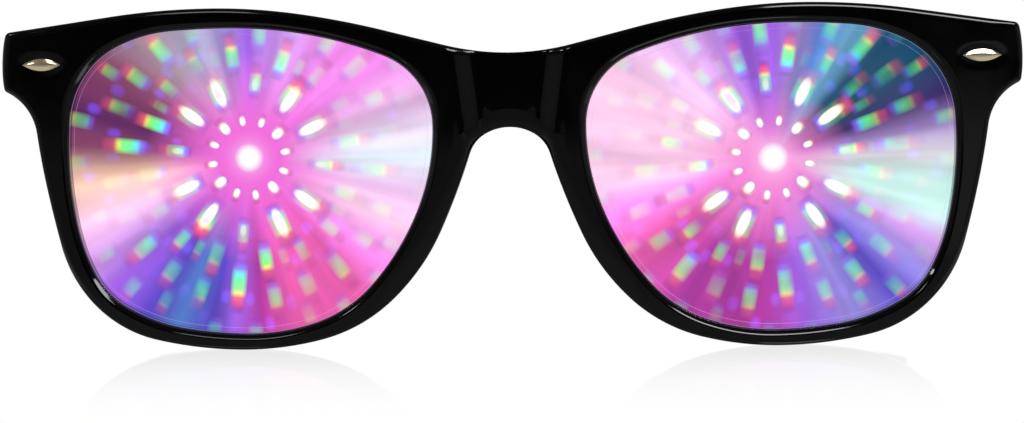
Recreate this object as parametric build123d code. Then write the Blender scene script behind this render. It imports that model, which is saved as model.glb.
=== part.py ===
from build123d import *
import math
import os

# The moulded front, in millimetres
front_width = 145.0
front_height = 48.0
front_radius = 260.0
front_thickness = 4.6
front_edge_bevel = 0.65
back_edge_bevel = 0.5
end_corner_round = 0.9
overall_length = 150.0

# Points of an outline are shares of half its width and of its height, and the headings
# say where the line goes there, in degrees: 0 outwards from the nose and 90 up

# The brow, from the bridge outwards
brow_shares = ((0.0, 0.8625), (0.239, 0.9305), (0.575, 1.0), (0.992, 0.935))
brow_headings = (0.0, 14.3, 0.0, -7.7)
# The outer side of the end piece
end_side_share = (1.0, 0.855)
# The rim, from the notch under the end piece round the bottom to the nose
rim_shares = (
    (0.9965, 0.762),
    (0.911, 0.467),
    (0.833, 0.1535),
    (0.524, 0.0),
    (0.2313, 0.142),
    (0.0775, 0.569),
)
rim_headings = (-155.0, -102.4, -130.0, -180.0, -222.7, -252.3)
# The arch over the nose, from its corner to the middle
arch_shares = ((0.0775, 0.569), (0.0, 0.6455))
arch_headings = (107.7, 180.0)
# Only upright edges beyond this share of half the width are end-piece corners
end_zone_share = 0.98

# The two lens openings, whose points are shares of half their width and height
bridge_width = 21.4
end_width = 9.7
brow_over_lens = 2.85
rim_under_lens = 2.25
opening_shares = (
    (0.112, 1.0),
    (-0.2157, 0.975),
    (-0.999, 0.359),
    (-0.662, -0.68),
    (0.01, -1.0),
    (0.694, -0.8255),
    (0.953, -0.312),
    (0.712, 0.8935),
    (0.112, 1.0),
)
opening_headings = (180.0, 187.4, 269.2, 311.8, 360.0, 390.2, 437.4, 515.1, 540.0)
opening_bevel = 0.8

# The lens, the film behind it and the groove that holds both
front_lip = 1.5
lens_thickness = 1.8
film_thickness = 0.25
groove_depth = 0.9
lens_edge_clearance = 0.12
groove_clearance = 0.05

# The end piece behind the face, where the temple shuts against it
end_thickness = 5.6
end_block_width = 8.7
end_block_margin = 0.7
end_block_corner_round = 0.9

# The moulded nose pads, set on the sides of the nose arch
pad_level_share = 0.3646
pad_across_share = 0.1462
pad_tilt = 26.3
pad_length = 16.0
pad_tip_length = 11.0
pad_thickness = 2.2
pad_reach = 5.8
pad_root = 0.6
pad_lean = 12.0
pad_corner_round = 2.4
pad_edge_bevel = 0.5

# The pointed oval rivets on the face
rivet_length = 6.1
rivet_width = 2.3
rivet_crown = 0.75
rivet_inset = 5.9
rivet_drop = 4.58
rivet_sink = 0.3
rivet_recess_margin = 0.28
rivet_post_radius = 0.8
rivet_post_length = 4.2
rivet_post_bite = 0.3
rivet_clearance = 0.02

# The three-knuckle hinge
hinge_height = 5.6
knuckle_count = 3
knuckle_gap = 0.06
barrel_radius = 1.5
barrel_side_gap = 0.15
barrel_back_gap = 0.2
leaf_thickness = 0.9
leaf_clearance = 0.05
leaf_corner_round = 0.8
front_leaf_width = 6.4
temple_leaf_length = 12.0

# The hinge screw
screw_radius = 0.65
screw_running_clearance = 0.03
screw_fixed_clearance = 0.01
screw_head_radius = 1.15
screw_head_thickness = 0.55
screw_slot_width = 0.3
screw_slot_depth = 0.25

# The temples
temple_inset = 1.1
temple_root_thickness = 4.4
temple_tip_thickness = 3.4
temple_root_height = 7.4
temple_waist_height = 6.4
temple_tip_height = 7.6
temple_slope = 4.5
ear_bend = 36.0
ear_bend_radius = 26.0
temple_toe_in = 7.0
temple_straight = 42.0
temple_joint_gap = 0.1
temple_edge_bevel = 0.65

# The small fixings between a temple and its hinge leaf
fixing_radius = 0.6
fixing_grip = 2.0
fixing_first = 5.2
fixing_pitch = 4.2
fixing_clearance = 0.02

# How far every cutting tool runs past what it cuts
overrun = 1.0


def face_set_back(across):
    """How far the curved face lies behind its middle, at a place across."""
    return front_radius - math.sqrt(front_radius**2 - across**2)


# Sizes that follow from the ones above
half_width = front_width / 2
lens_width = half_width - end_width - bridge_width / 2
lens_height = front_height - brow_over_lens - rim_under_lens
lens_centre_height = rim_under_lens + lens_height / 2
lens_centre_across = (bridge_width + lens_width) / 2
lens_front = front_lip + groove_clearance
lens_back = lens_front + lens_thickness
film_back = lens_back + film_thickness
groove_back = film_back + groove_clearance
joint_back = face_set_back(half_width) + end_thickness
temple_outer = half_width - temple_inset
temple_inner = temple_outer - temple_root_thickness
temple_start = joint_back + temple_joint_gap
hinge_across = temple_inner - barrel_side_gap - barrel_radius
hinge_back = joint_back + barrel_back_gap + barrel_radius
end_top = front_height * brow_shares[-1][1]
rivet_level = end_top - rivet_drop
hinge_low = rivet_level - hinge_height / 2
knuckle_pitch = hinge_height / knuckle_count
front_leaf_across = hinge_across - barrel_radius + front_leaf_width / 2
rivet_across = half_width - rivet_inset
pad_height = front_height * pad_level_share
pad_inward = half_width * pad_across_share
temple_root_centre = end_top - end_block_margin - temple_root_height / 2
end_block_across = half_width - end_block_margin - end_block_width / 2


def placed(shares, width, height):
    """Points worked out from shares of a width and of a height."""
    return [(across * width, up * height) for across, up in shares]


def heading_line(degrees):
    """The direction of a heading, one unit long."""
    return Vector(math.cos(math.radians(degrees)), math.sin(math.radians(degrees)))


def arc_pair(start, leave, end, arrive):
    """Two arcs that meet smoothly, from one place and direction to another."""
    chord = end - start
    along = chord.dot(leave + arrive)
    turn = 2 * (1 - leave.dot(arrive))
    reach = (math.sqrt(along**2 + turn * chord.dot(chord)) - along) / turn
    joint = (start + end + (leave - arrive) * reach) / 2
    return [
        TangentArc(start, joint, tangent=leave),
        TangentArc(end, joint, tangent=-arrive),
    ]


def arc_chain(points, headings):
    """A smooth line of arcs through points, with a given heading at each."""
    places = [Vector(*point) for point in points]
    lines = [heading_line(degrees) for degrees in headings]
    edges = []
    for index in range(len(places) - 1):
        edges += arc_pair(places[index], lines[index], places[index + 1], lines[index + 1])
    return edges


def deepen(drawing, near, far):
    """A solid of an outline seen from ahead, from one distance back to another."""
    upright = Plane((0, near, 0), x_dir=(1, 0, 0), z_dir=(0, -1, 0))
    return extrude(upright * drawing, amount=far - near, dir=(0, 1, 0))


def rod_back(radius, across, level, near, far):
    """A round rod that runs straight back."""
    return deepen(Pos(across, level) * Circle(radius), near, far)


def rod_up(radius, low, high):
    """A round rod on the hinge's axis."""
    place = Pos(hinge_across, hinge_back, low)
    return place * Cylinder(radius, high - low, align=(Align.CENTER, Align.CENTER, Align.MIN))


def block(low, high):
    """A box between its lowest and its highest corner."""
    sizes = [top - bottom for bottom, top in zip(low, high)]
    return Pos(*low) * Box(*sizes, align=(Align.MIN, Align.MIN, Align.MIN))


def other_side(shape):
    """The same shape on the other side of the nose."""
    return mirror(shape, about=Plane.YZ)


# The moulded front


def bent_core(depth):
    """All that lies further back than a depth behind the curved face."""
    tall = front_height + 2 * overrun
    bar = Cylinder(front_radius - depth, tall, align=(Align.CENTER, Align.CENTER, Align.MIN))
    return Pos(0, front_radius, -overrun) * bar


def bent_slice(drawing, near, far):
    """The stretch of an outline between two depths behind the curved face."""
    column = deepen(drawing, -overrun, joint_back + front_thickness)
    return column & (bent_core(near) - bent_core(far))


def front_outline():
    """The whole outside of the front, seen from ahead."""
    brow = placed(brow_shares, half_width, front_height)
    end_side = placed([end_side_share], half_width, front_height)[0]
    rim = placed(rim_shares, half_width, front_height)
    arch = placed(arch_shares, half_width, front_height)
    half = arc_chain(brow, brow_headings)
    half.append(ThreePointArc(brow[-1], end_side, rim[0]))
    half += arc_chain(rim, rim_headings)
    half += arc_chain(arch, arch_headings)
    return make_face(half + [other_side(edge) for edge in half])


def opening_outline(grow=0):
    """The lens opening on the wearer's left, made larger all round by a margin."""
    points = []
    shares = placed(opening_shares, lens_width / 2, lens_height / 2)
    for (across, up), degrees in zip(shares, opening_headings):
        line = heading_line(degrees)
        centred = (lens_centre_across + across, lens_centre_height + up)
        points.append((centred[0] + grow * line.Y, centred[1] - grow * line.X))
    return make_face(arc_chain(points, opening_headings))


def both(make, *sizes):
    """A feature of the wearer's left side and its mirror image, as one cutter."""
    feature = make(*sizes)
    return feature + other_side(feature)


def through_opening():
    """The lens opening, cut right through."""
    return deepen(opening_outline(), -overrun, joint_back)


def lens_groove():
    """The groove round a lens opening, for the lens and its film."""
    return bent_slice(opening_outline(groove_depth), front_lip, groove_back)


def skins(plate):
    """The curved face and the curved back of the plate, its two widest sides."""
    return plate.faces().sort_by(SortBy.AREA)[-2:].sort_by(Axis.Y)


def outer_edges(skin):
    """The edges round the outside of a skin."""
    return skin.outer_wire().edges()


def opening_edges(skin):
    """The edges of a skin round its openings."""
    return [edge for wire in skin.inner_wires() for edge in wire.edges()]


def front_plate():
    """The curved plate of the front, its edges and its openings bevelled."""
    column = deepen(front_outline(), -overrun, joint_back + front_thickness)
    corners = [
        edge
        for edge in column.edges().filter_by(Axis.Y)
        if abs(edge.center().X) > half_width * end_zone_share
    ]
    column = fillet(corners, end_corner_round)
    plate = column & (bent_core(0) - bent_core(front_thickness))
    plate = chamfer(outer_edges(skins(plate)[0]), front_edge_bevel)
    plate = chamfer(outer_edges(skins(plate)[1]), back_edge_bevel)
    plate = plate - both(through_opening)
    plate = plate - both(lens_groove)
    return chamfer(opening_edges(skins(plate)[0]), opening_bevel)


def end_block():
    """The thick end piece behind the face, flat where the temple shuts."""
    outline = RectangleRounded(end_block_width, temple_root_height, end_block_corner_round)
    column = deepen(Pos(end_block_across, temple_root_centre) * outline, 0, joint_back)
    return column & bent_core(front_thickness / 2)


def nose_pad():
    """A nose pad moulded on the side of the nose arch, shorter and further out at its tip."""
    tilt = math.radians(pad_tilt)
    lean = math.radians(pad_lean)
    along = Vector(math.sin(tilt), 0, -math.cos(tilt))
    outward = Vector(math.cos(tilt), 0, math.sin(tilt))
    through = outward * math.cos(lean) - Vector(0, 1, 0) * math.sin(lean)
    root = Vector(pad_inward, face_set_back(pad_inward) + front_thickness - overrun, pad_height)
    profile = make_face(
        Polyline(
            (-pad_length / 2, 0),
            (pad_length / 2, 0),
            (pad_tip_length / 2, overrun + pad_reach),
            (-pad_tip_length / 2, overrun + pad_reach),
            close=True,
        )
    )
    tip_corners = profile.vertices().group_by(Axis.Y)[-1]
    profile = fillet(tip_corners, pad_corner_round)
    pad = extrude(Plane(root, x_dir=along, z_dir=through) * profile, amount=pad_thickness)
    nose_side = pad.faces().sort_by(Axis(root, through))[0]
    pad = chamfer(nose_side.edges(), pad_edge_bevel)
    return pad & bent_core(front_thickness - pad_root)


def rivet_plane(sink):
    """The plane of a face rivet, sunk by a depth below the curved face."""
    tip = math.asin(rivet_across / front_radius)
    normal = (math.sin(tip), -math.cos(tip), 0)
    reach = front_radius - sink
    centre = (reach * normal[0], front_radius + reach * normal[1], rivet_level)
    return Plane(centre, x_dir=(math.cos(tip), math.sin(tip), 0), z_dir=normal)


def pointed_oval(margin):
    """The pointed oval of a rivet, made larger by a margin, twice that at its points."""
    long_half = rivet_length / 2 + 2 * margin
    wide_half = rivet_width / 2 + margin
    left, right = (-long_half, 0), (long_half, 0)
    upper = ThreePointArc(left, (0, wide_half), right)
    lower = ThreePointArc(right, (0, -wide_half), left)
    return make_face([upper, lower])


def rivet_recess():
    """The shallow recess in the face round a rivet."""
    return extrude(rivet_plane(rivet_sink) * pointed_oval(rivet_recess_margin), amount=overrun)


def rivet_post(radius, extra):
    """A rod as long as the rivet's post and an extra length."""
    near = face_set_back(rivet_across) + rivet_sink
    far = near + rivet_post_length + extra
    return rod_back(radius, rivet_across, rivet_level, near - rivet_post_bite, far)


def rivet_post_hole():
    """The blind hole for the rivet's post in the end piece."""
    return rivet_post(rivet_post_radius + rivet_clearance, rivet_clearance)


def front_leaf_outline(grow=0):
    """The outline of the leaf on the front, made larger all round by a margin."""
    drawing = RectangleRounded(
        front_leaf_width + 2 * grow,
        hinge_height + 2 * grow,
        leaf_corner_round,
    )
    return Pos(front_leaf_across, rivet_level) * drawing


def front_leaf_pocket():
    """The pocket in the end piece that the leaf is let into."""
    near = joint_back - leaf_thickness
    return deepen(front_leaf_outline(leaf_clearance), near, joint_back + overrun)


def front_frame():
    """The whole moulded front with its pads, end pieces, recesses and pockets."""
    frame = front_plate() + both(end_block) + both(nose_pad)
    for feature in (rivet_recess, rivet_post_hole, front_leaf_pocket):
        frame = frame - both(feature)
    return frame


# The lenses


def lens():
    """A clear lens, bent like the face, held in the groove."""
    outline = opening_outline(groove_depth - lens_edge_clearance)
    return bent_slice(outline, lens_front, lens_back)


def diffraction_film():
    """The thin film on the back of a lens."""
    outline = opening_outline(groove_depth - lens_edge_clearance)
    return bent_slice(outline, lens_back, film_back)


# The face rivets


def rivet_vault(span, turn):
    """A lying bar whose top is the rivet's crown over a span, turned about the upright."""
    radius = (span**2 / 4 + rivet_crown**2) / (2 * rivet_crown)
    bar = Rot(0, 90, 0) * Cylinder(radius, 2 * rivet_length)
    return Rot(0, 0, turn) * (Pos(0, 0, rivet_crown - radius) * bar)


def face_rivet():
    """A pointed oval dome on the face with a post that holds it in the end piece."""
    oval = extrude(pointed_oval(0), amount=rivet_crown)
    dome = oval & rivet_vault(rivet_width, 0) & rivet_vault(rivet_length, 90)
    return rivet_plane(rivet_sink) * dome + rivet_post(rivet_post_radius, 0)


# The hinge


def knuckle_span(index):
    """The lowest and highest level of one knuckle."""
    low = hinge_low + index * knuckle_pitch
    return low + knuckle_gap / 2, low + knuckle_pitch - knuckle_gap / 2


def screw_hole(clearance):
    """The hole through the knuckles for the screw."""
    return rod_up(screw_radius + clearance, hinge_low - overrun, hinge_low + hinge_height + overrun)


def front_hinge():
    """The leaf let into the front, with every other knuckle of the hinge."""
    near = joint_back - leaf_thickness
    hinge = deepen(front_leaf_outline(), near, joint_back)
    for index in range(0, knuckle_count, 2):
        low, high = knuckle_span(index)
        web = block(
            (hinge_across - barrel_radius, joint_back, low),
            (hinge_across + barrel_radius, hinge_back, high),
        )
        hinge = hinge + web + rod_up(barrel_radius, low, high)
    return hinge - screw_hole(screw_fixed_clearance)


def temple_leaf_box(grow=0):
    """The leaf let into the temple's inner side, made larger by a margin."""
    start = temple_start - (overrun if grow else 0)
    return block(
        (temple_inner - (overrun if grow else 0), start, hinge_low - grow),
        (
            temple_inner + leaf_thickness,
            temple_start + temple_leaf_length + grow,
            hinge_low + hinge_height + grow,
        ),
    )


def fixing_places():
    """Where the small fixings stand along the temple."""
    first = temple_start + fixing_first
    return [first, first + fixing_pitch]


def rod_outward(radius, back, near, far):
    """A round rod that runs out from the hinge side of the temple."""
    plane = Plane((near, back, rivet_level), x_dir=(0, 1, 0), z_dir=(1, 0, 0))
    return extrude(plane * Circle(radius), amount=far - near)


def fixing_holes():
    """The holes for the small fixings, through the leaf and into the temple."""
    radius = fixing_radius + fixing_clearance
    far = temple_inner + leaf_thickness + fixing_grip
    first, second = [
        rod_outward(radius, back, temple_inner - overrun, far) for back in fixing_places()
    ]
    return first + second


def temple_hinge():
    """The leaf let into the temple, with the knuckles between those of the front."""
    hinge = temple_leaf_box()
    far_corners = hinge.edges().filter_by(Axis.X).group_by(Axis.Y)[-1]
    hinge = fillet(far_corners, leaf_corner_round)
    for index in range(1, knuckle_count, 2):
        low, high = knuckle_span(index)
        web = block(
            (hinge_across, hinge_back - barrel_radius, low),
            (temple_inner + leaf_thickness, hinge_back + barrel_radius, high),
        )
        hinge = hinge + web + rod_up(barrel_radius, low, high)
    hinge = hinge - screw_hole(screw_running_clearance)
    return hinge - fixing_holes()


def hinge_screw():
    """The slotted screw that is the hinge's pin."""
    low = knuckle_span(0)[0]
    high = knuckle_span(knuckle_count - 1)[1]
    top = high + screw_head_thickness
    screw = rod_up(screw_radius, low, high) + rod_up(screw_head_radius, high, top)
    half_slot = screw_slot_width / 2
    slot = block(
        (hinge_across - half_slot, hinge_back - 2 * screw_head_radius, top - screw_slot_depth),
        (hinge_across + half_slot, hinge_back + 2 * screw_head_radius, top + overrun),
    )
    return screw - slot


# The temples


def temple_stations():
    """Places along the middle of a temple seen from the side: back, level, dip and height."""
    dip = math.radians(temple_slope)
    hook = math.radians(temple_slope + ear_bend)
    tip_half = temple_tip_height / 2
    run = overall_length - tip_half - temple_start
    run -= ear_bend_radius * (math.sin(hook) - math.sin(dip))
    drop = temple_root_centre - tip_half
    drop -= ear_bend_radius * (math.cos(dip) - math.cos(hook))
    spread = math.sin(hook - dip)
    arm = (run * math.sin(hook) - drop * math.cos(hook)) / spread
    tail = (drop * math.cos(dip) - run * math.sin(dip)) / spread

    def step(place, heading, distance):
        return place[0] + distance * math.cos(heading), place[1] - distance * math.sin(heading)

    middle = (dip + hook) / 2
    chord = 2 * ear_bend_radius * math.sin((hook - dip) / 4)
    root = (temple_start, temple_root_centre)
    bend_start = step(root, dip, arm)
    bend_middle = step(bend_start, (dip + middle) / 2, chord)
    bend_end = step(bend_middle, (middle + hook) / 2, chord)
    half_height = (temple_root_height + temple_waist_height) / 2
    return [
        (*root, 0, temple_root_height),
        (*step(root, dip, arm / 2), dip, half_height),
        (*bend_start, dip, temple_waist_height),
        (*bend_middle, middle, temple_waist_height),
        (*bend_end, hook, temple_waist_height),
        (*step(bend_end, hook, tail), hook, temple_tip_height),
    ]


def temple_side():
    """The temple's outline seen from the side, with its ear bend and round tip."""
    upper = []
    lower = []
    for back, level, dip, height in temple_stations():
        shift = (math.sin(dip) * height / 2, math.cos(dip) * height / 2)
        upper.append((back + shift[0], level + shift[1]))
        lower.append((back - shift[0], level - shift[1]))
    back, level, dip, height = temple_stations()[-1]
    heading = (math.cos(dip), -math.sin(dip))
    nose = (back + heading[0] * height / 2, level + heading[1] * height / 2)
    dip_start = math.radians(temple_slope)
    start_heading = (math.cos(dip_start), -math.sin(dip_start))
    edges = [
        Spline(upper, tangents=(start_heading, heading)),
        ThreePointArc(upper[-1], nose, lower[-1]),
        Spline(lower, tangents=(start_heading, heading)),
        Line(lower[0], upper[0]),
    ]
    return make_face(edges)


def temple_plan():
    """The temple's outline seen from above: straight at the hinge, then an arc inwards."""
    straight_end = temple_start + temple_straight
    outer_turn = (temple_outer, straight_end)
    inner_turn = (temple_inner, straight_end)
    outer_end = (temple_outer - temple_toe_in, overall_length)
    inner_end = (outer_end[0] - temple_tip_thickness, overall_length)
    edges = [
        Line((temple_outer, temple_start), outer_turn),
        TangentArc(outer_turn, outer_end, tangent=(0, 1)),
        Line(outer_end, inner_end),
        TangentArc(inner_turn, inner_end, tangent=(0, 1)),
        Line((temple_inner, temple_start), inner_turn),
        Line((temple_inner, temple_start), (temple_outer, temple_start)),
    ]
    return make_face(edges)


def temple():
    """A temple with bevelled edges, a pocket for its hinge leaf and the fixing holes."""
    side_plane = Plane((0, 0, 0), x_dir=(0, 1, 0), z_dir=(1, 0, 0))
    from_side = extrude(side_plane * temple_side(), amount=half_width + overrun)
    from_above = extrude(temple_plan(), amount=front_height + overrun, dir=(0, 0, 1))
    arm = from_side & from_above
    seams = arm.edges().filter_by(Axis.X) + arm.edges().filter_by(Axis.Z)
    long_edges = [edge for edge in arm.edges() if edge not in seams]
    arm = chamfer(long_edges, temple_edge_bevel)
    return arm - temple_leaf_box(leaf_clearance) - fixing_holes()


def temple_fixings():
    """The two small pins that hold the leaf to the temple, flush with the leaf."""
    far = temple_inner + leaf_thickness + fixing_grip
    first, second = [
        rod_outward(fixing_radius, back, temple_inner, far) for back in fixing_places()
    ]
    return first + second


def save(name, shape):
    """Write one piece, with the whole object's middle over the origin."""
    export_step(Pos(0, -overall_length / 2, 0) * shape, f"parts/{name}.step")
    print(name, "volume", round(shape.volume, 1))


def main():
    """Build every piece once and mirror those that come in pairs."""
    os.makedirs("parts", exist_ok=True)
    save("front_frame", front_frame())
    pairs = {
        "lens": lens,
        "diffraction_film": diffraction_film,
        "rivet": face_rivet,
        "front_hinge": front_hinge,
        "temple_hinge": temple_hinge,
        "hinge_screw": hinge_screw,
        "temple": temple,
        "temple_fixings": temple_fixings,
    }
    for name, make in pairs.items():
        piece = make()
        save(f"left_{name}", piece)
        save(f"right_{name}", other_side(piece))


if __name__ == "__main__":
    main()
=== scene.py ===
"""The looks of a pair of diffraction glasses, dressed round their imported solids.

Shapes are worked out in millimetres on numpy grids and put into their meshes in metres.
Across is +X, towards the wearer's left; back is +Y, towards the ears; up is +Z.
"""

import logging
import math
from collections.abc import Sequence
from dataclasses import dataclass, field
from enum import Enum

import bmesh
import bpy
import numpy as np
from mathutils import Matrix, Vector


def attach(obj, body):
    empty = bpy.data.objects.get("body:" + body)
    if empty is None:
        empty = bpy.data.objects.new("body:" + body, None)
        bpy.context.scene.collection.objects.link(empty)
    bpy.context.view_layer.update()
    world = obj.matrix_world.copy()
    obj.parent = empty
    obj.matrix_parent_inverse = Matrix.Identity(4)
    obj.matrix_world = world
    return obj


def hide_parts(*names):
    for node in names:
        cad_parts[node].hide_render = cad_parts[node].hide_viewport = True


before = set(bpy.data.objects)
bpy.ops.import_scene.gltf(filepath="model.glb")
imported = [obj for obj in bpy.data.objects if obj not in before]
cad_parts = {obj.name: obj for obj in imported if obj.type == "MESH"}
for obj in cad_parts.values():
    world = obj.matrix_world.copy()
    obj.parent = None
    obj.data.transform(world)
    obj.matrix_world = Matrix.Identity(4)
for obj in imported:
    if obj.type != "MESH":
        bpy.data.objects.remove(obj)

LOG = logging.getLogger("glasses")
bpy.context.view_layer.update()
MILLIMETRE = 0.001
WELD = 1e-6
NEARLY_NOTHING = 1e-9
ARC_STEP_DEGREES = 4

Array = np.ndarray
Colour = tuple[float, float, float]
Socket = bpy.types.NodeSocket


class Side(Enum):
    """The wearer's two sides, as a sign along +X."""

    LEFT = 1
    RIGHT = -1

    @property
    def word(self) -> str:
        """The side's word in the names of pieces."""
        return self.name.lower()

    @property
    def arm(self) -> str:
        """The moving body of the temple on this side."""
        return f"{self.word}_arm"


# Plain geometry


def wrapped(angle: Array | float) -> Array | float:
    """The same angle between minus and plus half a turn."""
    return (angle + np.pi) % (2 * np.pi) - np.pi


def eased(share: Array) -> Array:
    """A step from 0 to 1 that starts and ends level: 3 s squared less 2 s cubed."""
    held = np.clip(share, 0.0, 1.0)
    return held * held * (3 - 2 * held)


def directions(headings: Array) -> Array:
    """Unit steps along headings in radians."""
    return np.stack([np.cos(headings), np.sin(headings)], axis=-1)


def quarter_turn(count: int) -> Array:
    """Angles from 0 to a quarter of a turn, both included."""
    return np.linspace(0, np.pi / 2, count)


def full_turn(count: int) -> Array:
    """Angles evenly round a whole turn, set off so that none lies on an axis."""
    return np.linspace(0, 2 * np.pi, count + 1)[:-1] + np.pi / count


def bearings(places: Array, centre: Array) -> Array:
    """The angles at which places lie round a centre."""
    return np.arctan2(places[:, 1] - centre[1], places[:, 0] - centre[0])


def between(start: Array, end: Array, share: float) -> Array:
    """Points a share of the way from one line of points to another."""
    return start + (end - start) * share


def arc_walk(start: Array, end: Array, heading: float, step: float) -> tuple[Array, Array]:
    """Points and headings along one arc, its end left out.

    An arc that leaves its start under a heading turns twice the angle between that
    heading and its chord. After a share of the turn, the point lies off the start by the
    chord times sin(half the turn so far) over sin(half the whole turn), along the heading
    plus half the turn so far.

    Args:
        start: Where the arc starts.
        end: Where it ends.
        heading: The direction it starts in, in radians.
        step: The longest distance between two points.

    Returns:
        The points and the headings at them.
    """
    chord = float(np.hypot(*(end - start)))
    half = float(wrapped(math.atan2(end[1] - start[1], end[0] - start[0]) - heading))
    straight = abs(half) < NEARLY_NOTHING
    length = chord if straight else chord * half / math.sin(half)
    by_turn = math.ceil(abs(math.degrees(half)) / ARC_STEP_DEGREES)
    count = max(2, math.ceil(length / step), by_turn)
    shares = np.arange(count) / count
    so_far = half * shares
    reach = chord * (shares if straight else np.sin(so_far) / math.sin(half))
    points = start + reach[:, None] * directions(heading + so_far)
    return points, heading + 2 * so_far


@dataclass(frozen=True)
class ArcChain:
    """A smooth line of arcs through places, with a heading in degrees at each."""

    places: tuple[tuple[float, float], ...]
    headings: tuple[float, ...]

    def walk(self, step: float) -> tuple[Array, Array]:
        """Points and headings along the whole line, its last place included.

        Between two places lie two arcs. They meet half way between the places moved
        apart by a reach along the two headings, where the reach makes both arcs smooth.

        Args:
            step: The longest distance between two points.

        Returns:
            The points and the headings in radians.
        """
        places = np.array(self.places)
        turns = np.radians(self.headings)
        points, headings = [], []
        for index in range(len(places) - 1):
            start, end = places[index], places[index + 1]
            leave, arrive = directions(turns[index]), directions(turns[index + 1])
            chord = end - start
            along = float(chord @ (leave + arrive))
            turn = max(2 * (1 - float(leave @ arrive)), NEARLY_NOTHING)
            reach = (math.sqrt(along**2 + turn * float(chord @ chord)) - along) / turn
            joint = (start + end + (leave - arrive) * reach) / 2
            first = float(turns[index])
            angle = math.atan2(joint[1] - start[1], joint[0] - start[0])
            second = first + 2 * float(wrapped(angle - first))
            for begin, finish, heading in ((start, joint, first), (joint, end, second)):
                some, along_some = arc_walk(begin, finish, heading, step)
                points.append(some)
                headings.append(along_some)
        points.append(places[-1:])
        headings.append(turns[-1:])
        return np.concatenate(points), np.concatenate(headings)


def grid_faces(rows: int, columns: int, closed_rows: bool, closed_columns: bool) -> Array:
    """The four corners of every cell of a grid whose points lie row after row.

    Args:
        rows: How many rows of points.
        columns: How many points in a row.
        closed_rows: Whether the last row joins the first.
        closed_columns: Whether each row's last point joins its first.

    Returns:
        One line of four point numbers for each cell.
    """
    down = np.arange(rows if closed_rows else rows - 1)[:, None]
    over = np.arange(columns if closed_columns else columns - 1)[None, :]
    next_down, next_over = (down + 1) % rows, (over + 1) % columns
    corners = [
        down * columns + over,
        down * columns + next_over,
        next_down * columns + next_over,
        next_down * columns + over,
    ]
    return np.stack(corners, axis=-1).reshape(-1, 4)


@dataclass
class Skin:
    """Points in millimetres and faces, gathered until they become one mesh."""

    points: list[Array] = field(default_factory=list)
    faces: list[Array] = field(default_factory=list)
    count: int = 0

    def add(self, points: Array, faces: Array) -> None:
        """Adds a patch of points and of faces that count from its own first point.

        Args:
            points: The patch's points.
            faces: One line of point numbers for each face.
        """
        flat = points.reshape(-1, 3)
        self.points.append(flat)
        self.faces.append(faces + self.count)
        self.count += len(flat)

    @classmethod
    def tube(cls, loops: Array) -> "Skin":
        """A skin of closed loops of points joined one to the next, closed at both ends."""
        skin = cls()
        skin.add_tube(loops)
        return skin

    def add_tube(self, loops: Array, capped: bool = True) -> None:
        """Adds closed loops of points joined one to the next, with a fan at both ends.

        Args:
            loops: The loops, each with as many points.
            capped: Whether a fan closes both ends.
        """
        rows, columns = loops.shape[:2]
        self.add(loops, grid_faces(rows, columns, False, True))
        if capped:
            self.add_fan(loops[0])
            self.add_fan(loops[-1])

    def add_fan(self, loop: Array) -> None:
        """Closes a loop with triangles round its middle.

        Args:
            loop: The loop's points.
        """
        count = len(loop)
        points = np.concatenate([loop, loop.mean(axis=0, keepdims=True)])
        rim = np.arange(count)
        faces = np.stack([rim, (rim + 1) % count, np.full(count, count)], axis=-1)
        self.add(points, faces)

    def mirrored(self) -> "Skin":
        """The same skin on the other side of the nose."""
        flipped = [points * (-1.0, 1.0, 1.0) for points in self.points]
        return Skin(flipped, list(self.faces), self.count)

    def on(self, side: Side) -> "Skin":
        """The skin of the same part on a side, made from that of the wearer's left."""
        return self if side is Side.LEFT else self.mirrored()

    def join(self, other: "Skin") -> None:
        """Takes in every patch of another skin."""
        self.points += other.points
        self.faces += [faces + self.count for faces in other.faces]
        self.count += other.count

    def piece(
        self, name: str, material: bpy.types.Material, *, body: str, slot: str, node: str
    ) -> bpy.types.Object:
        """Makes the mesh object, hangs it on the moving body that carries it and hides the solid that
        it replaces.

        Args:
            name: The piece's name.
            material: Its finish.
            body: The moving body that carries it.
            slot: The record's material slot that the finish belongs to; not used.
            node: The solid that the piece replaces.

        Returns:
            The object, welded, with its faces outwards and shaded smooth.
        """
        mesh = bpy.data.meshes.new(name)
        points = np.concatenate(self.points) * MILLIMETRE
        mesh.from_pydata(points.tolist(), [], sum((faces.tolist() for faces in self.faces), []))
        work = bmesh.new()
        work.from_mesh(mesh)
        bmesh.ops.remove_doubles(work, verts=work.verts, dist=WELD)
        bmesh.ops.dissolve_degenerate(work, edges=work.edges, dist=WELD / 10)
        bmesh.ops.recalc_face_normals(work, faces=work.faces)
        work.to_mesh(mesh)
        work.free()
        mesh.polygons.foreach_set("use_smooth", np.ones(len(mesh.polygons), dtype=bool))
        mesh.update()
        mesh.materials.append(material)
        made = bpy.data.objects.new(name, mesh)
        bpy.context.scene.collection.objects.link(made)
        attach(made, body)
        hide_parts(node)
        LOG.info("%s: %d faces on %s", name, len(mesh.polygons), body)
        return made


# Shader nodes


@dataclass(frozen=True)
class Fade:
    """A level that goes from a start to an end while a value goes from low to high."""

    low: float
    high: float
    start: float = 0.0
    end: float = 1.0


MIDDLE_OF_NOISE = (0.3, 0.7)
SCREEN_POWER = 2.2
BLACK = (0.0, 0.0, 0.0, 1.0)
WHITE = (1.0, 1.0, 1.0, 1.0)


def linear(colour: Sequence[float], strength: float = 1.0) -> tuple[float, float, float, float]:
    """A colour as a screen shows it, turned into light: each part to the power 2.2."""
    red, green, blue = (part**SCREEN_POWER * strength for part in colour)
    return red, green, blue, 1.0


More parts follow.
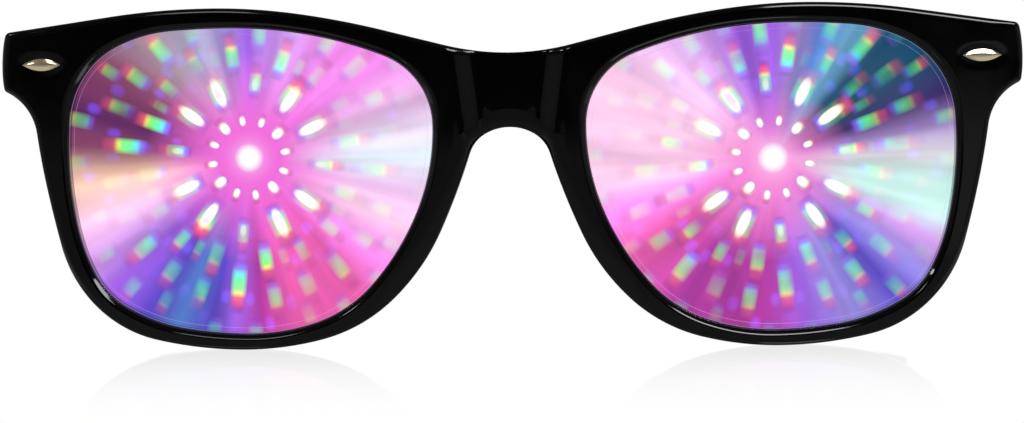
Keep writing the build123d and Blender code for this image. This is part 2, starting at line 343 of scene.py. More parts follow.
class Nodes:
    """Fills one node tree, with short calls."""

    def __init__(self, tree: bpy.types.NodeTree) -> None:
        """Empties the tree."""
        self.tree = tree
        tree.nodes.clear()

    def add(self, kind: str, inputs: dict | None = None, **settings: object) -> bpy.types.Node:
        """Adds a node, sets its settings, and fills or links its inputs.

        Args:
            kind: The node's type.
            inputs: Values or sockets by an input's name or number.
            **settings: The node's own settings.

        Returns:
            The node.
        """
        node = self.tree.nodes.new(kind)
        for key, value in settings.items():
            setattr(node, key, value)
        for key, value in (inputs or {}).items():
            self.fill(node.inputs[key], value)
        return node

    def fill(self, socket: Socket, value: object) -> None:
        """Links a socket to another, or gives it a value.

        Args:
            socket: The input.
            value: A socket or a value.
        """
        if isinstance(value, bpy.types.NodeSocket):
            self.tree.links.new(value, socket)
        else:
            socket.default_value = value

    def maths(self, operation: str, *values: Socket | float, clamp: bool = False) -> Socket:
        """One step of arithmetic."""
        inputs = dict(enumerate(values))
        node = self.add("ShaderNodeMath", inputs, operation=operation, use_clamp=clamp)
        return node.outputs[0]

    def faded(self, value: Socket, fade: Fade) -> Socket:
        """The level of a fade at a value, held at its two ends."""
        inputs = {0: value, 1: fade.low, 2: fade.high, 3: fade.start, 4: fade.end}
        return self.add("ShaderNodeMapRange", inputs).outputs[0]

    def varied(self, noise: Socket, start: float, end: float) -> Socket:
        """Noise carried to a range, which the middle of its values fills."""
        return self.faded(noise, Fade(*MIDDLE_OF_NOISE, start, end))

    def product(self, first: Socket, *others: Socket | float) -> Socket:
        """Values multiplied one after the other."""
        for other in others:
            first = self.maths("MULTIPLY", first, other)
        return first

    def combined(self, *parts: Socket) -> Socket:
        """Three values as one vector."""
        return self.add("ShaderNodeCombineXYZ", dict(enumerate(parts))).outputs[0]

    def mixed(self, blend: str, share: Socket | float, first: object, second: object) -> Socket:
        """Two colours mixed.

        Args:
            blend: How they are mixed.
            share: How much the second one counts.
            first: The first colour.
            second: The second colour.

        Returns:
            The mixed colour.
        """
        node = self.add("ShaderNodeMix", data_type="RGBA", blend_type=blend)
        for key, value in ((0, share), (6, first), (7, second)):
            self.fill(node.inputs[key], value)
        return node.outputs[2]

    def ramp(self, value: Socket, stops: Sequence[tuple[float, Sequence[float]]]) -> Socket:
        """A colour read off a row of stops, each a place and a colour in light.

        Args:
            value: Where on the row it is read.
            stops: The stops.

        Returns:
            The colour.
        """
        node = self.add("ShaderNodeValToRGB", {0: value})
        row = node.color_ramp.elements
        while len(row) < len(stops):
            row.new(1.0)
        for element, (place, colour) in zip(row, stops):
            element.position = place
            element.color = colour
        return node.outputs[0]

    def place(self, centre: Sequence[float] = (0, 0, 0), scale: Sequence[float] = (1, 1, 1)) -> Socket:
        """The place on the piece, centred and scaled by a Mapping node.

        Args:
            centre: What becomes the middle.
            scale: What the place is then multiplied by.

        Returns:
            The place.
        """
        moved = tuple(-part * size for part, size in zip(centre, scale))
        where = self.add("ShaderNodeTexCoord").outputs["Object"]
        inputs = {"Vector": where, "Location": moved, "Scale": scale}
        return self.add("ShaderNodeMapping", inputs).outputs[0]

    def noise(self, where: Socket, scale: float, detail: float = 3.0) -> Socket:
        """Soft noise between 0 and 1."""
        inputs = {"Vector": where, "Scale": scale, "Detail": detail}
        return self.add("ShaderNodeTexNoise", inputs).outputs[0]

    def bump(self, height: Socket, depth: float) -> Socket:
        """The normal of a surface raised by a height times a depth in metres."""
        inputs = {"Height": height, "Strength": 1.0, "Distance": depth}
        return self.add("ShaderNodeBump", inputs).outputs[0]


class Shader(Nodes):
    """Builds one material."""

    def __init__(self, name: str) -> None:
        """Starts an empty material."""
        self.material = bpy.data.materials.new(name)
        self.material.use_nodes = True
        super().__init__(self.material.node_tree)

    def finish(self, inputs: dict) -> bpy.types.Material:
        """Ends the material in a principled surface with these inputs."""
        surface = self.add("ShaderNodeBsdfPrincipled", inputs)
        self.add("ShaderNodeOutputMaterial", {"Surface": surface.outputs[0]})
        return self.material


# Finishes


@dataclass(frozen=True)
class GlossyPlastic:
    """Polished black plastic: nearly mirror smooth, with faint moulding waves."""

    name: str = "glossy_black_plastic"
    colour: Colour = (0.055, 0.055, 0.058)
    shades: tuple[float, float] = (0.8, 1.2)
    low_roughness: float = 0.05
    high_roughness: float = 0.13
    wave_scale: float = 160.0
    wave_depth: float = 3e-6
    dust_scale: float = 2600.0
    dust_share: float = 0.015
    gloss: float = 0.5

    def material(self) -> bpy.types.Material:
        """The plastic's material.

        Soft noise carries the colour between its shades and the gloss between its ends, and
        a little fine noise is added to it for the surface's height.

        Returns:
            The material.
        """
        shader = Shader(self.name)
        where = shader.place()
        cloud = shader.noise(where, self.wave_scale)
        dust = shader.noise(where, self.dust_scale, 2.0)
        dark, light = (linear(self.colour, shade) for shade in self.shades)
        raised = shader.maths("ADD", cloud, shader.product(dust, self.dust_share))
        return shader.finish(
            {
                "Base Color": shader.mixed("MIX", cloud, dark, light),
                "Roughness": shader.varied(cloud, self.low_roughness, self.high_roughness),
                "Normal": shader.bump(raised, self.wave_depth),
                "Specular IOR Level": self.gloss,
            }
        )


@dataclass(frozen=True)
class BrushedMetal:
    """Metal with fine brushing along one direction and a little unevenness, and a painted glow of its
    own colour at the glow strength.
    """

    name: str
    colour: Colour
    low_roughness: float = 0.22
    high_roughness: float = 0.38
    grain: tuple[float, float, float] = (400.0, 6000.0, 6000.0)
    grain_depth: float = 4e-6
    # Strength of a painted glow in the worn colour, standing in for bounced light; the metal is no
    # lamp.
    glow: float = 0.0
    wear_scale: float = 420.0
    worn_shade: float = 0.75

    def material(self) -> bpy.types.Material:
        """The metal's material.

        Noise drawn out along the brushing gives the gloss and the height, and soft noise
        the wear. The worn colour also glows at the glow strength: painted light that stands
        in for light bounced onto the metal from the white floor.

        Returns:
            The material.
        """
        shader = Shader(self.name)
        grain = shader.noise(shader.place(scale=self.grain), 1.0, 4.0)
        cloud = shader.noise(shader.place(), self.wear_scale)
        dark, light = linear(self.colour, self.worn_shade), linear(self.colour)
        worn = shader.mixed("MIX", cloud, dark, light)
        return shader.finish(
            {
                "Base Color": worn,
                "Metallic": 1.0,
                "Roughness": shader.varied(grain, self.low_roughness, self.high_roughness),
                "Normal": shader.bump(grain, self.grain_depth),
                "Emission Color": worn,
                "Emission Strength": self.glow,
            }
        )


@dataclass(frozen=True)
class ClearLens:
    """Clear plastic that shows by its gloss, with a painted highlight glowing on its bevelled edge and
    on a fine line inside it, where it is also less clear.
    """

    name: str = "clear_lens_plastic"
    colour: Colour = (0.93, 0.9, 0.95)
    hazy_shade: float = 0.92
    haze_scale: float = 90.0
    low_roughness: float = 0.02
    high_roughness: float = 0.06
    face_alpha: float = 0.04
    edge_alpha: float = 0.5
    painted_edge_highlight: Colour = (0.72, 0.76, 0.9)

    def material(self) -> bpy.types.Material:
        """The lens's material, whose alpha and painted edge highlight follow the edge attribute.

        Returns:
            The material.
        """
        shader = Shader(self.name)
        edge = shader.add("ShaderNodeAttribute", attribute_name="edge").outputs["Fac"]
        haze = shader.noise(shader.place(), self.haze_scale)
        dark, light = linear(self.colour, self.hazy_shade), linear(self.colour)
        return shader.finish(
            {
                "Base Color": shader.mixed("MIX", haze, dark, light),
                "Roughness": shader.varied(haze, self.low_roughness, self.high_roughness),
                "Alpha": shader.faded(edge, Fade(0.0, 1.0, self.face_alpha, self.edge_alpha)),
                # A painted highlight glows on the bevel and on the fine line inside it.
                "Emission Color": shader.mixed("MIX", edge, BLACK, linear(self.painted_edge_highlight)),
                "Emission Strength": 1.0,
            }
        )


FRONT_PLASTIC = GlossyPlastic()
TEMPLE_PLASTIC = GlossyPlastic("arm_black_plastic", high_roughness=0.16)
HINGE_STEEL = BrushedMetal("hinge_steel", (0.74, 0.74, 0.75))
SCREW_STEEL = BrushedMetal(
    "screw_steel", (0.8, 0.79, 0.77), low_roughness=0.16, high_roughness=0.3
)
# The rivets glow a little: painted light that brightens them as if lit by light bounced up from the
# white floor.
RIVET_NICKEL = BrushedMetal(
    "rivet_nickel",
    (0.9, 0.84, 0.7),
    low_roughness=0.06,
    high_roughness=0.14,
    grain=(300.0, 300.0, 4000.0),
    grain_depth=1e-6,
    glow=0.18,
)


class Tint(Enum):
    """Colours of the light on the films, as a screen shows them."""

    ICE = (0.9, 0.95, 1.0)
    CLOUD = (0.84, 0.83, 0.86)
    SHELL = (0.97, 0.77, 0.89)
    PALE_LILAC = (0.93, 0.75, 0.93)
    LILAC = (0.82, 0.6, 0.92)
    ORCHID = (0.97, 0.54, 0.94)
    VIOLET = (0.6, 0.36, 0.86)
    MAUVE = (0.6, 0.48, 0.74)
    TAUPE = (0.62, 0.52, 0.58)
    DUSK = (0.52, 0.26, 0.4)
    PLUM = (0.34, 0.12, 0.34)
    PEACH = (0.96, 0.78, 0.68)
    MINT = (0.76, 0.92, 0.89)
    HAZE = (0.7, 0.68, 0.82)
    PERIWINKLE = (0.58, 0.53, 0.87)
    LAGOON = (0.42, 0.66, 0.82)
    LAKE = (0.3, 0.46, 0.76)
    INDIGO = (0.34, 0.26, 0.76)
    TEAL = (0.08, 0.28, 0.4)
    NIGHT = (0.22, 0.14, 0.4)
    MAGENTA = (0.66, 0.2, 0.6)
    ROSE = (0.92, 0.36, 0.68)
    PINK = (0.95, 0.42, 0.86)
    HOT_PINK = (0.97, 0.52, 0.84)


Sectors = tuple[tuple[float, Tint], ...]


class Glow(Enum):
    """How a dash's colour runs from its inner end to its outer one."""

    RAINBOW = (
        (0.0, (0.0, 0.0, 0.0)),
        (0.1, (0.5, 0.3, 0.92)),
        (0.19, (0.46, 0.46, 0.98)),
        (0.27, (0.34, 0.84, 0.95)),
        (0.37, (0.34, 0.95, 0.62)),
        (0.55, (0.46, 0.95, 0.4)),
        (0.63, (0.92, 0.86, 0.4)),
        (0.71, (0.9, 0.36, 0.36)),
        (0.87, (0.72, 0.2, 0.46)),
        (1.0, (0.0, 0.0, 0.0)),
    )
    GLARE = (
        (0.0, (0.0, 0.0, 0.0)),
        (0.1, (0.8, 0.75, 0.95)),
        (0.25, (0.97, 1.0, 0.97)),
        (0.6, (1.0, 1.0, 0.88)),
        (0.78, (0.9, 0.7, 0.6)),
        (1.0, (0.0, 0.0, 0.0)),
    )
    GHOST = (
        (0.0, (0.0, 0.0, 0.0)),
        (0.2, (0.44, 0.24, 1.0)),
        (0.7, (0.26, 0.3, 1.0)),
        (1.0, (0.0, 0.0, 0.0)),
    )


@dataclass(frozen=True)
class Dash:
    """One ring of coloured dashes round a burst, repeated four times and mirrored."""

    radius: float
    angle: float
    length: float
    width: float
    strength: float
    glow: Glow = Glow.RAINBOW


DASHES: tuple[Dash, ...] = (
    Dash(15.7, 30.0, 2.6, 0.9, 0.6, Glow.GHOST),
    Dash(12.8, 44.0, 2.6, 0.85, 0.5, Glow.GHOST),
    Dash(15.0, 0.0, 2.6, 0.85, 0.6, Glow.GHOST),
    Dash(10.7, 7.0, 2.2, 0.65, 0.5, Glow.GHOST),
    Dash(20.0, 5.0, 2.8, 0.85, 0.6, Glow.GHOST),
    Dash(21.3, 21.5, 3.0, 1.0, 0.65, Glow.GHOST),
    Dash(23.6, 12.0, 3.0, 0.95, 0.6, Glow.GHOST),
    Dash(16.9, 41.0, 3.0, 0.95, 0.5, Glow.GHOST),
    Dash(5.5, 15.0, 2.4, 0.6, 0.6),
    Dash(5.3, 15.0, 1.8, 0.46, 1.4, Glow.GLARE),
    Dash(5.7, 45.0, 3.0, 0.95, 0.7),
    Dash(5.4, 45.0, 2.4, 0.68, 1.6, Glow.GLARE),
    Dash(10.6, 30.0, 7.2, 1.5, 1.1),
    Dash(10.2, 30.5, 5.4, 0.82, 2.0, Glow.GLARE),
    Dash(11.0, 0.0, 5.6, 0.95, 1.2),
    Dash(10.4, 0.0, 2.4, 0.5, 0.6, Glow.GLARE),
    Dash(23.8, 26.0, 5.0, 1.05, 0.36),
    Dash(14.9, 24.5, 4.6, 0.8, 0.3),
    Dash(14.8, 14.3, 6.6, 1.1, 1.15),
    Dash(15.4, 35.3, 5.6, 1.0, 0.6),
    Dash(18.2, 0.0, 8.0, 1.2, 1.1),
    Dash(20.2, 45.0, 7.4, 1.25, 0.8),
    Dash(20.4, 15.5, 6.4, 1.15, 0.5),
    Dash(20.0, 30.0, 6.2, 1.25, 0.5),
    Dash(25.5, 7.0, 5.8, 1.2, 0.4),
    Dash(25.5, 38.0, 5.8, 1.2, 0.4),
)


@dataclass(frozen=True)
class Burst:
    """The painted star of coloured light that one film shows: a glow that stands in for light shining
    through the film.

    Distances are in millimetres on the lens as seen from ahead, angles in degrees from
    the wearer's left, counted upwards. The ground is the middle's tint up to where the
    sector fade starts and the sectors' from where it ends.
    """

    name: str
    across: float
    up: float
    turn: float
    sectors: Sectors
    middle: Tint
    sector_fade: Fade = Fade(4.5, 15.0)
    lean: float = 0.0
    lean_angle: float = 0.0
    core: float = 1.5
    core_edge: tuple[float, float] = (0.75, 1.4)
    halo: float = 4.4
    halo_colour: Colour = (1.0, 0.8, 0.95)
    halo_level: float = 0.9
    ray_fade: Fade = Fade(4.0, 12.0)
    ray_levels: tuple[float, float] = (0.84, 1.3)
    ray_scale: float = 5.0
    ray_drift: float = 0.035
    spoke_count: float = 24.0
    spoke_level: float = 0.03
    dash_grain: float = 210.0
    dash_levels: Fade = Fade(0.36, 0.64, 0.35, 1.3)
    dash_shade: Fade = Fade(0.05, 0.7, 0.62, 0.08)
    dash_softness: tuple[float, float] = (0.95, 0.7)
    dash_end: float = 0.12
    # Share of the painted light that also goes into the base colour.
    base_share_of_light: float = 0.12
    brightness: float = 1.03
    roughness: float = 0.35
    gloss: float = 0.2


class BurstShader(Shader):
    """Builds a film's material, which glows with its painted burst of light."""

    def __init__(self, burst: Burst) -> None:
        """Starts the material and finds the distance from the burst and the angle round it.

        Args:
            burst: The burst's sizes and colours.
        """
        super().__init__(burst.name)
        self.burst = burst
        centre = (burst.across * MILLIMETRE, 0.0, burst.up * MILLIMETRE)
        where = self.place(centre, (1 / MILLIMETRE,) * 3)
        side, _, rise = self.add("ShaderNodeSeparateXYZ", {0: where}).outputs
        squares = [self.product(part, part) for part in (side, rise)]
        self.distance = self.maths("SQRT", self.maths("ADD", *squares))
        self.angle = self.maths("ARCTAN2", rise, side)
        self.turned = self.maths("SUBTRACT", self.angle, math.radians(burst.turn))

    def sector_colour(self) -> Socket:
        """The soft colour of the ground, read off a ramp round the burst.

        The ramp's two ends meet straight behind the burst, so both have the colour that its
        last and its first stop give there.

        Returns:
            The colour.
        """
        share = self.faded(self.angle, Fade(-math.pi, math.pi))
        stops = sorted(
            ((degrees / 360 + 0.5) % 1.0, linear(tint.value)) for degrees, tint in self.burst.sectors
        )
        first, last = stops[0], stops[-1]
        part = (1 - last[0]) / (first[0] + 1 - last[0])
        seam = tuple(b + (a - b) * part for a, b in zip(first[1], last[1]))
        return self.ramp(share, [(0.0, seam), *stops, (1.0, seam)])

    def rays(self) -> Socket:
        """The level of the soft rays and faint spokes.

        The rays are noise read on a circle, so that they hardly change outwards, and a
        cosine of many times the angle adds the spokes. Both fade away towards the middle.

        Returns:
            The level, about 1.
        """
        burst = self.burst
        circle = self.combined(
            self.product(self.maths("COSINE", self.angle), burst.ray_scale),
            self.product(self.maths("SINE", self.angle), burst.ray_scale),
            self.product(self.distance, burst.ray_drift),
        )
        rays = self.varied(self.noise(circle, 1.0, 2.0), *burst.ray_levels)
        spokes = self.maths("COSINE", self.product(self.turned, burst.spoke_count))
        rays = self.maths("ADD", rays, self.product(spokes, burst.spoke_level))
        change = self.maths("SUBTRACT", rays, 1.0)
        return self.maths("ADD", 1.0, self.product(self.faded(self.distance, burst.ray_fade), change))

    def ground(self) -> Socket:
        """The ground's light: one tint in the middle and the sectors' colours further out.

        The middle leans: before it is faded, the distance loses the lean times the cosine
        of the angle off the lean's direction.

        Returns:
            The light.
        """
        off = self.maths("SUBTRACT", self.angle, math.radians(self.burst.lean_angle))
        leaned = self.product(self.maths("COSINE", off), self.burst.lean)
        outwards = self.faded(self.maths("SUBTRACT", self.distance, leaned), self.burst.sector_fade)
        colour = self.mixed("MIX", outwards, linear(self.burst.middle.value), self.sector_colour())
        level = self.rays()
        return self.mixed("MULTIPLY", 1.0, colour, self.combined(level, level, level))

    def dash_ring(self, dash: Dash, folded: Socket, uneven: Socket) -> tuple[Socket, Socket]:
        """One ring of dashes.

        A dash's sideways distance is the radius times the sine of the angle off its
        line, and the brightness of a coloured dash falls with the square of that over
        its width. A white or ghostly one is a soft oval: its brightness also falls with
        the square of the distance from its middle. The colour follows the share of the
        length from the inner end.

        Args:
            dash: The ring's sizes.
            folded: The angle, folded into one eighth of a turn.
            uneven: A soft factor that makes some dashes brighter than others.

        Returns:
            The dash's brightness and its light.
        """
        white = dash.glow is Glow.GLARE
        off = self.maths("SINE", self.maths("SUBTRACT", folded, math.radians(dash.angle)))
        start = dash.radius - dash.length / 2
        share = self.faded(self.distance, Fade(start, start + dash.length))
        sideways = self.product(off, self.distance, 1 / dash.width)
        fall = self.product(sideways, sideways)
        if dash.glow is not Glow.RAINBOW:
            lengthways = self.faded(share, Fade(0.0, 1.0, -1.0, 1.0))
            fall = self.maths("ADD", fall, self.product(lengthways, lengthways))
        near = self.maths("SUBTRACT", 1.0, fall, clamp=True)
        soft = self.faded(near, Fade(0.0, self.burst.dash_softness[white]))
        ends = self.product(share, self.maths("SUBTRACT", 1.0, share))
        inside = self.faded(ends, Fade(0.0, self.burst.dash_end))
        strength = dash.strength if white else self.product(uneven, dash.strength)
        bell = self.product(soft, inside, strength)
        stops = [(place, linear(colour)) for place, colour in dash.glow.value]
        scaled = self.add("ShaderNodeVectorMath", {0: self.ramp(share, stops)}, operation="SCALE")
        self.fill(scaled.inputs["Scale"], bell)
        return bell, scaled.outputs[0]

    def dashed(self, light: Socket) -> Socket:
        """The ground's light with every ring of dashes laid on it.

        Under a coloured dash the ground is darkened, most where it is dark already, and
        the dash's light is added as a screen would.

        Args:
            light: The ground's light.

        Returns:
            The light of ground and dashes.
        """
        eighth = math.pi / 4
        folded = self.maths("ABSOLUTE", self.maths("WRAP", self.turned, eighth, -eighth))
        green = self.add("ShaderNodeSeparateColor", {0: light}).outputs[1]
        deep = self.faded(green, self.burst.dash_shade)
        grain = self.noise(self.place(), self.burst.dash_grain, 1.0)
        uneven = self.faded(grain, self.burst.dash_levels)
        for dash in DASHES:
            bell, colour = self.dash_ring(dash, folded, uneven)
            depth = deep if dash.glow is Glow.RAINBOW else 0.0
            shade = self.maths("MULTIPLY", bell, depth, clamp=True)
            light = self.mixed("MIX", shade, light, BLACK)
            light = self.mixed("SCREEN", 1.0, light, colour)
        return light

    def film(self) -> bpy.types.Material:
        """The finished material: ground, dashes, halo and white core, all painted light that the film
        glows with; its base colour is the same light, dimmed.

        The halo falls with the square of what is left of the way to its edge.

        Returns:
            The material.
        """
        burst = self.burst
        light = self.dashed(self.ground())
        inner, outer = (burst.core * share for share in burst.core_edge)
        core = self.faded(self.distance, Fade(inner, outer, 1.0, 0.0))
        fade = self.faded(self.distance, Fade(0.0, burst.halo, 1.0, 0.0))
        glow = self.product(fade, fade, burst.halo_level)
        light = self.mixed("SCREEN", glow, light, linear(burst.halo_colour))
        light = self.mixed("SCREEN", core, light, WHITE)
        # The base colour carries the painted light too, dimmed by this share.
        own = (burst.base_share_of_light,) * 3 + (1.0,)
        return self.finish(
            {
                "Base Color": self.mixed("MULTIPLY", 1.0, light, own),
                "Emission Color": light,
                "Emission Strength": burst.brightness,
                "Roughness": burst.roughness,
                "Specular IOR Level": burst.gloss,
            }
        )


RIGHT_FILM_SECTORS: Sectors = (
    (0, Tint.ICE),
    (18, Tint.PALE_LILAC),
    (35, Tint.ORCHID),
    (52, Tint.ORCHID),
    (70, Tint.LILAC),
    (90, Tint.VIOLET),
    (112, Tint.HAZE),
    (132, Tint.TAUPE),
    (148, Tint.DUSK),
    (165, Tint.PLUM),
    (176, Tint.DUSK),
    (189, Tint.PEACH),
    (201, Tint.SHELL),
    (212, Tint.LILAC),
    (222, Tint.VIOLET),
    (236, Tint.INDIGO),
    (246, Tint.LAKE),
    (256, Tint.INDIGO),
    (264, Tint.VIOLET),
    (274, Tint.MAGENTA),
    (287, Tint.ROSE),
    (310, Tint.ROSE),
    (323, Tint.ORCHID),
    (336, Tint.SHELL),
    (348, Tint.PALE_LILAC),
)
LEFT_FILM_SECTORS: Sectors = (
    (0, Tint.CLOUD),
    (11, Tint.MAUVE),
    (20, Tint.NIGHT),
    (32, Tint.TEAL),
    (46, Tint.TEAL),
    (58, Tint.LAGOON),
    (68, Tint.LAKE),
    (78, Tint.MAUVE),
    (90, Tint.VIOLET),
    (106, Tint.VIOLET),
    (120, Tint.LILAC),
    (138, Tint.PALE_LILAC),
    (155, Tint.SHELL),
    (170, Tint.SHELL),
    (188, Tint.SHELL),
    (198, Tint.ORCHID),
    (212, Tint.ROSE),
    (236, Tint.MAGENTA),
    (255, Tint.MAGENTA),
    (268, Tint.MAGENTA),
    (282, Tint.VIOLET),
    (297, Tint.PERIWINKLE),
    (312, Tint.INDIGO),
    (323, Tint.PERIWINKLE),
    (332, Tint.LILAC),
    (341, Tint.MINT),
    (352, Tint.MINT),
)
BURSTS: dict[Side, Burst] = {
    Side.RIGHT: Burst(
        name="film_light_right",
        across=-36.9,
        up=26.9,
        turn=-5.5,
        sectors=RIGHT_FILM_SECTORS,
        middle=Tint.PINK,
    ),
    Side.LEFT: Burst(
        name="film_light_left",
        across=36.9,
        up=26.2,
        turn=5.5,
        sectors=LEFT_FILM_SECTORS,
        middle=Tint.HOT_PINK,
        sector_fade=Fade(2.5, 12.5),
        lean=2.2,
        lean_angle=250.0,
        core=1.6,
        halo=5.4,
    ),
}


# The moulded front


@dataclass(frozen=True)
class SoftEdge:
    """How wide and how deep the outer edge of the face is rounded, as pairs."""

    plain: tuple[float, float] = (0.75, 0.65)
    along_brow: tuple[float, float] = (1.1, 0.9)
    round_nose: tuple[float, float] = (2.6, 1.0)
    brow_end: float = 70.6
    brow_change: float = 3.0
    brow_level: float = 41.0
    nose_end: float = 22.0
    nose_change: float = 8.0
    nose_low: float = 1.0
    nose_rise: float = 9.0
    nose_high: float = 36.0
    nose_fall: float = 3.0

    def sizes(self, points: Array) -> list[Array]:
        """Width and depth at points, changing over eased steps beside brow and nose.

        Args:
            points: Places along the outline, as across and up.

        Returns:
            The widths and the depths.
        """
        across, up = points.T
        brow = eased((self.brow_end - across) / self.brow_change) * (up > self.brow_level)
        nose = eased((self.nose_end - across) / self.nose_change)
        nose = nose * eased((up - self.nose_low) / self.nose_rise)
        nose = nose * eased((self.nose_high - up) / self.nose_fall)
        return [
            plain + (at_nose - plain) * nose + (at_brow - plain) * brow
            for plain, at_brow, at_nose in zip(self.plain, self.along_brow, self.round_nose)
        ]


@dataclass(frozen=True)
class Recess:
    """The sunk middle of the bridge, whose sides slant in towards the nose arch."""

    deep: float = 1.75
    half: float = 6.5
    level: float = 41.0
    slant: float = 0.13
    change: float = 4.0

    def depth(self, across: Array, up: Array) -> Array:
        """How deep the face lies at places: one eased step over each slanting side.

        Args:
            across: Distances from the middle.
            up: Heights.

        Returns:
            The depths.
        """
        side = self.half - (self.level - up) * self.slant
        return self.deep * eased((side + self.change / 2 - across) / self.change)


@dataclass(frozen=True)
class Dish:
    """The shallow oval dish in which a rivet sits."""

    middle: tuple[float, float] = (66.6, 40.3)
    half: tuple[float, float] = (3.9, 1.9)
    deep: float = 0.22
    steepness: float = 1.25

    def depth(self, across: Array, up: Array) -> Array:
        """How deep the face lies at places: an eased step inwards from the oval's rim.

        Args:
            across: Distances from the middle.
            up: Heights.

        Returns:
            The depths.
        """
        long = (across - self.middle[0]) / self.half[0]
        tall = (up - self.middle[1]) / self.half[1]
        return self.deep * eased(self.steepness * (1 - np.sqrt(long**2 + tall**2)))


@dataclass
class FrontShell:
    """The moulded front's plate, bent round an upright axis, with its two openings."""

    bend_radius: float = 260.0
    foremost: float = -75.0
    thickness: float = 4.6
    lens_centre: tuple[float, float] = (36.75, 23.7)
    lens_half: tuple[float, float] = (26.05, 21.45)
    opening_bevel: float = 0.8
    back_round: float = 0.5
    edge: SoftEdge = SoftEdge()
    recess: Recess = Recess()
    dish: Dish = Dish()
    carved_share: float = 0.7
    fan: float = 5.0
    arch_slack: float = 0.1
    outline_step: float = 0.6
    opening_step: float = 0.3
    cut_points: int = 16
    wall_depths: tuple[float, ...] = (3.0, 1.6)
    bevel_shares: tuple[float, ...] = (0.06, 0.35, 0.65, 0.94)
    face_lip: float = 0.12
    side_lip: float = 0.15
    back_lip: float = 0.25
    face_lines: int = 27
    edge_lines: int = 9
    back_edge_lines: int = 6
    back_lines: int = 6
    outside: ArcChain = ArcChain(
        (
            (0.0, 41.4),
            (17.3275, 44.664),
            (41.6875, 48.0),
            (71.315, 44.962),
            (72.069, 44.288),
            (72.5, 41.04),
            (72.324, 37.040),
            (71.820, 36.377),
            (66.0475, 22.416),
            (60.3925, 7.368),
            (37.99, 0.0),
            (16.769, 6.816),
            (5.61875, 27.312),
            (0.0, 30.984),
        ),
        (0, 14.3, 0, -7.7, -75.9, -86.9, -99.6, -155, -102.4, -130, -180, -222.7, -252.3, -180),
    )
    opening_headings: tuple[float, ...] = (180, 187.4, 269.2, 311.8, 360, 390.2, 437.4, 515.1, 540)
    opening_shares: tuple[tuple[float, float], ...] = (
        (0.112, 1.0),
        (-0.2157, 0.975),
        (-0.999, 0.359),
        (-0.662, -0.68),
        (0.01, -1.0),
        (0.694, -0.8255),
        (0.953, -0.312),
        (0.712, 0.8935),
        (0.112, 1.0),
    )

    def opening(self) -> tuple[Array, Array]:
        """The wearer's left opening, anticlockwise: points and outward directions.

        Returns:
            The points and the directions.
        """
        centre, half = np.array(self.lens_centre), np.array(self.lens_half)
        places = centre + np.array(self.opening_shares) * half
        chain = ArcChain(tuple(map(tuple, places)), self.opening_headings)
        points, headings = chain.walk(self.opening_step)
        return points[:-1], directions(headings[:-1] - np.pi / 2)

    def outline(self) -> tuple[Array, Array, int]:
        """The outside of the left half, clockwise from the brow's middle, then the cut.

        Returns:
            Points, outward directions, and how many of them lie before the cut line on
            the middle of the bridge, where the directions are zero.
        """
        points, headings = self.outside.walk(self.outline_step)
        outward = directions(headings + np.pi / 2)
        outward[0], outward[-1] = (0, 1), (0, -1)
        low, high = self.outside.places[-1][1], self.outside.places[0][1]
        rise = np.linspace(low, high, self.cut_points)[1:-1]
        cut = np.stack([np.zeros_like(rise), rise], axis=-1)
        outward = np.concatenate([outward, np.zeros_like(cut)])
        return np.concatenate([points, cut]), outward, len(points)

    def face_back(self, across: float) -> float:
        """How far back the face lies at a distance from the middle."""
        return self.foremost + (self.bend_radius - math.sqrt(self.bend_radius**2 - across**2))

    def bent(self, flat: Array) -> Array:
        """Bends points of across, up and depth round the face's upright cylinder.

        A point at a depth behind the face lies on a cylinder smaller by that depth: its
        place back is the bend radius less the root of the smaller radius squared less
        the distance across squared.

        Args:
            flat: Points as across, up and depth.

        Returns:
            The points as across, back and up.
        """
        across, up, depth = flat[..., 0], flat[..., 1], flat[..., 2]
        inner = self.bend_radius - depth
        back = self.bend_radius - np.sqrt(inner**2 - across**2) + self.foremost
        return np.stack([across, back, up], axis=-1)

    def drawn_in(self, outer: Array, steps: Array, before_cut: int) -> Array:
        """The outline moved inwards, its points on the cut spread evenly again.

        Args:
            outer: The outline.
            steps: How each point moves.
            before_cut: How many points lie before the cut.

        Returns:
            The moved points.
        """
        moved = outer - steps
        share = (outer[before_cut:, 1] - outer[before_cut - 1, 1]) / (
            outer[0, 1] - outer[before_cut - 1, 1]
        )
        moved[before_cut:, 1] = between(moved[before_cut - 1, 1], moved[0, 1], share)
        return moved

    def fanned(self, points: Array, before_cut: int) -> Array:
        """How far the grid's lines are turned up where the nose arch would cross them.

        Args:
            points: Places along the outline.
            before_cut: How many of them lie before the bridge's middle.

        Returns:
            Turns in radians: none at the arch's corner, most at its top, and none again
            at the brow.
        """
        corner, top = self.outside.places[-2][0], self.outside.places[-1][1]
        brow = self.outside.places[0][1]
        across, up = points.T
        on_arch = (across < corner) & (up < top + self.arch_slack)
        share = np.where(on_arch, 1 - across / corner, 0.0)
        share[before_cut:] = 1 - (up[before_cut:] - top) / (brow - top)
        return math.radians(self.fan) * share

    def matched(self, places: Array, turns: Array) -> tuple[Array, Array]:
        """The opening's edge at the same angles round the lens as other places.

        Args:
            places: Places round the lens.
            turns: How much less than its own angle each one looks up.

        Returns:
            Points on the opening's edge and unit directions away from the lens there.
        """
        opening, away = self.opening()
        angles = bearings(opening, self.lens_centre)
        wanted = bearings(places, self.lens_centre) - turns
        found = [
            np.interp(wanted, angles, values, period=2 * np.pi)
            for values in (*opening.T, *away.T)
        ]
        into = np.stack(found[2:], axis=-1)
        return np.stack(found[:2], axis=-1), into / np.linalg.norm(into, axis=1, keepdims=True)

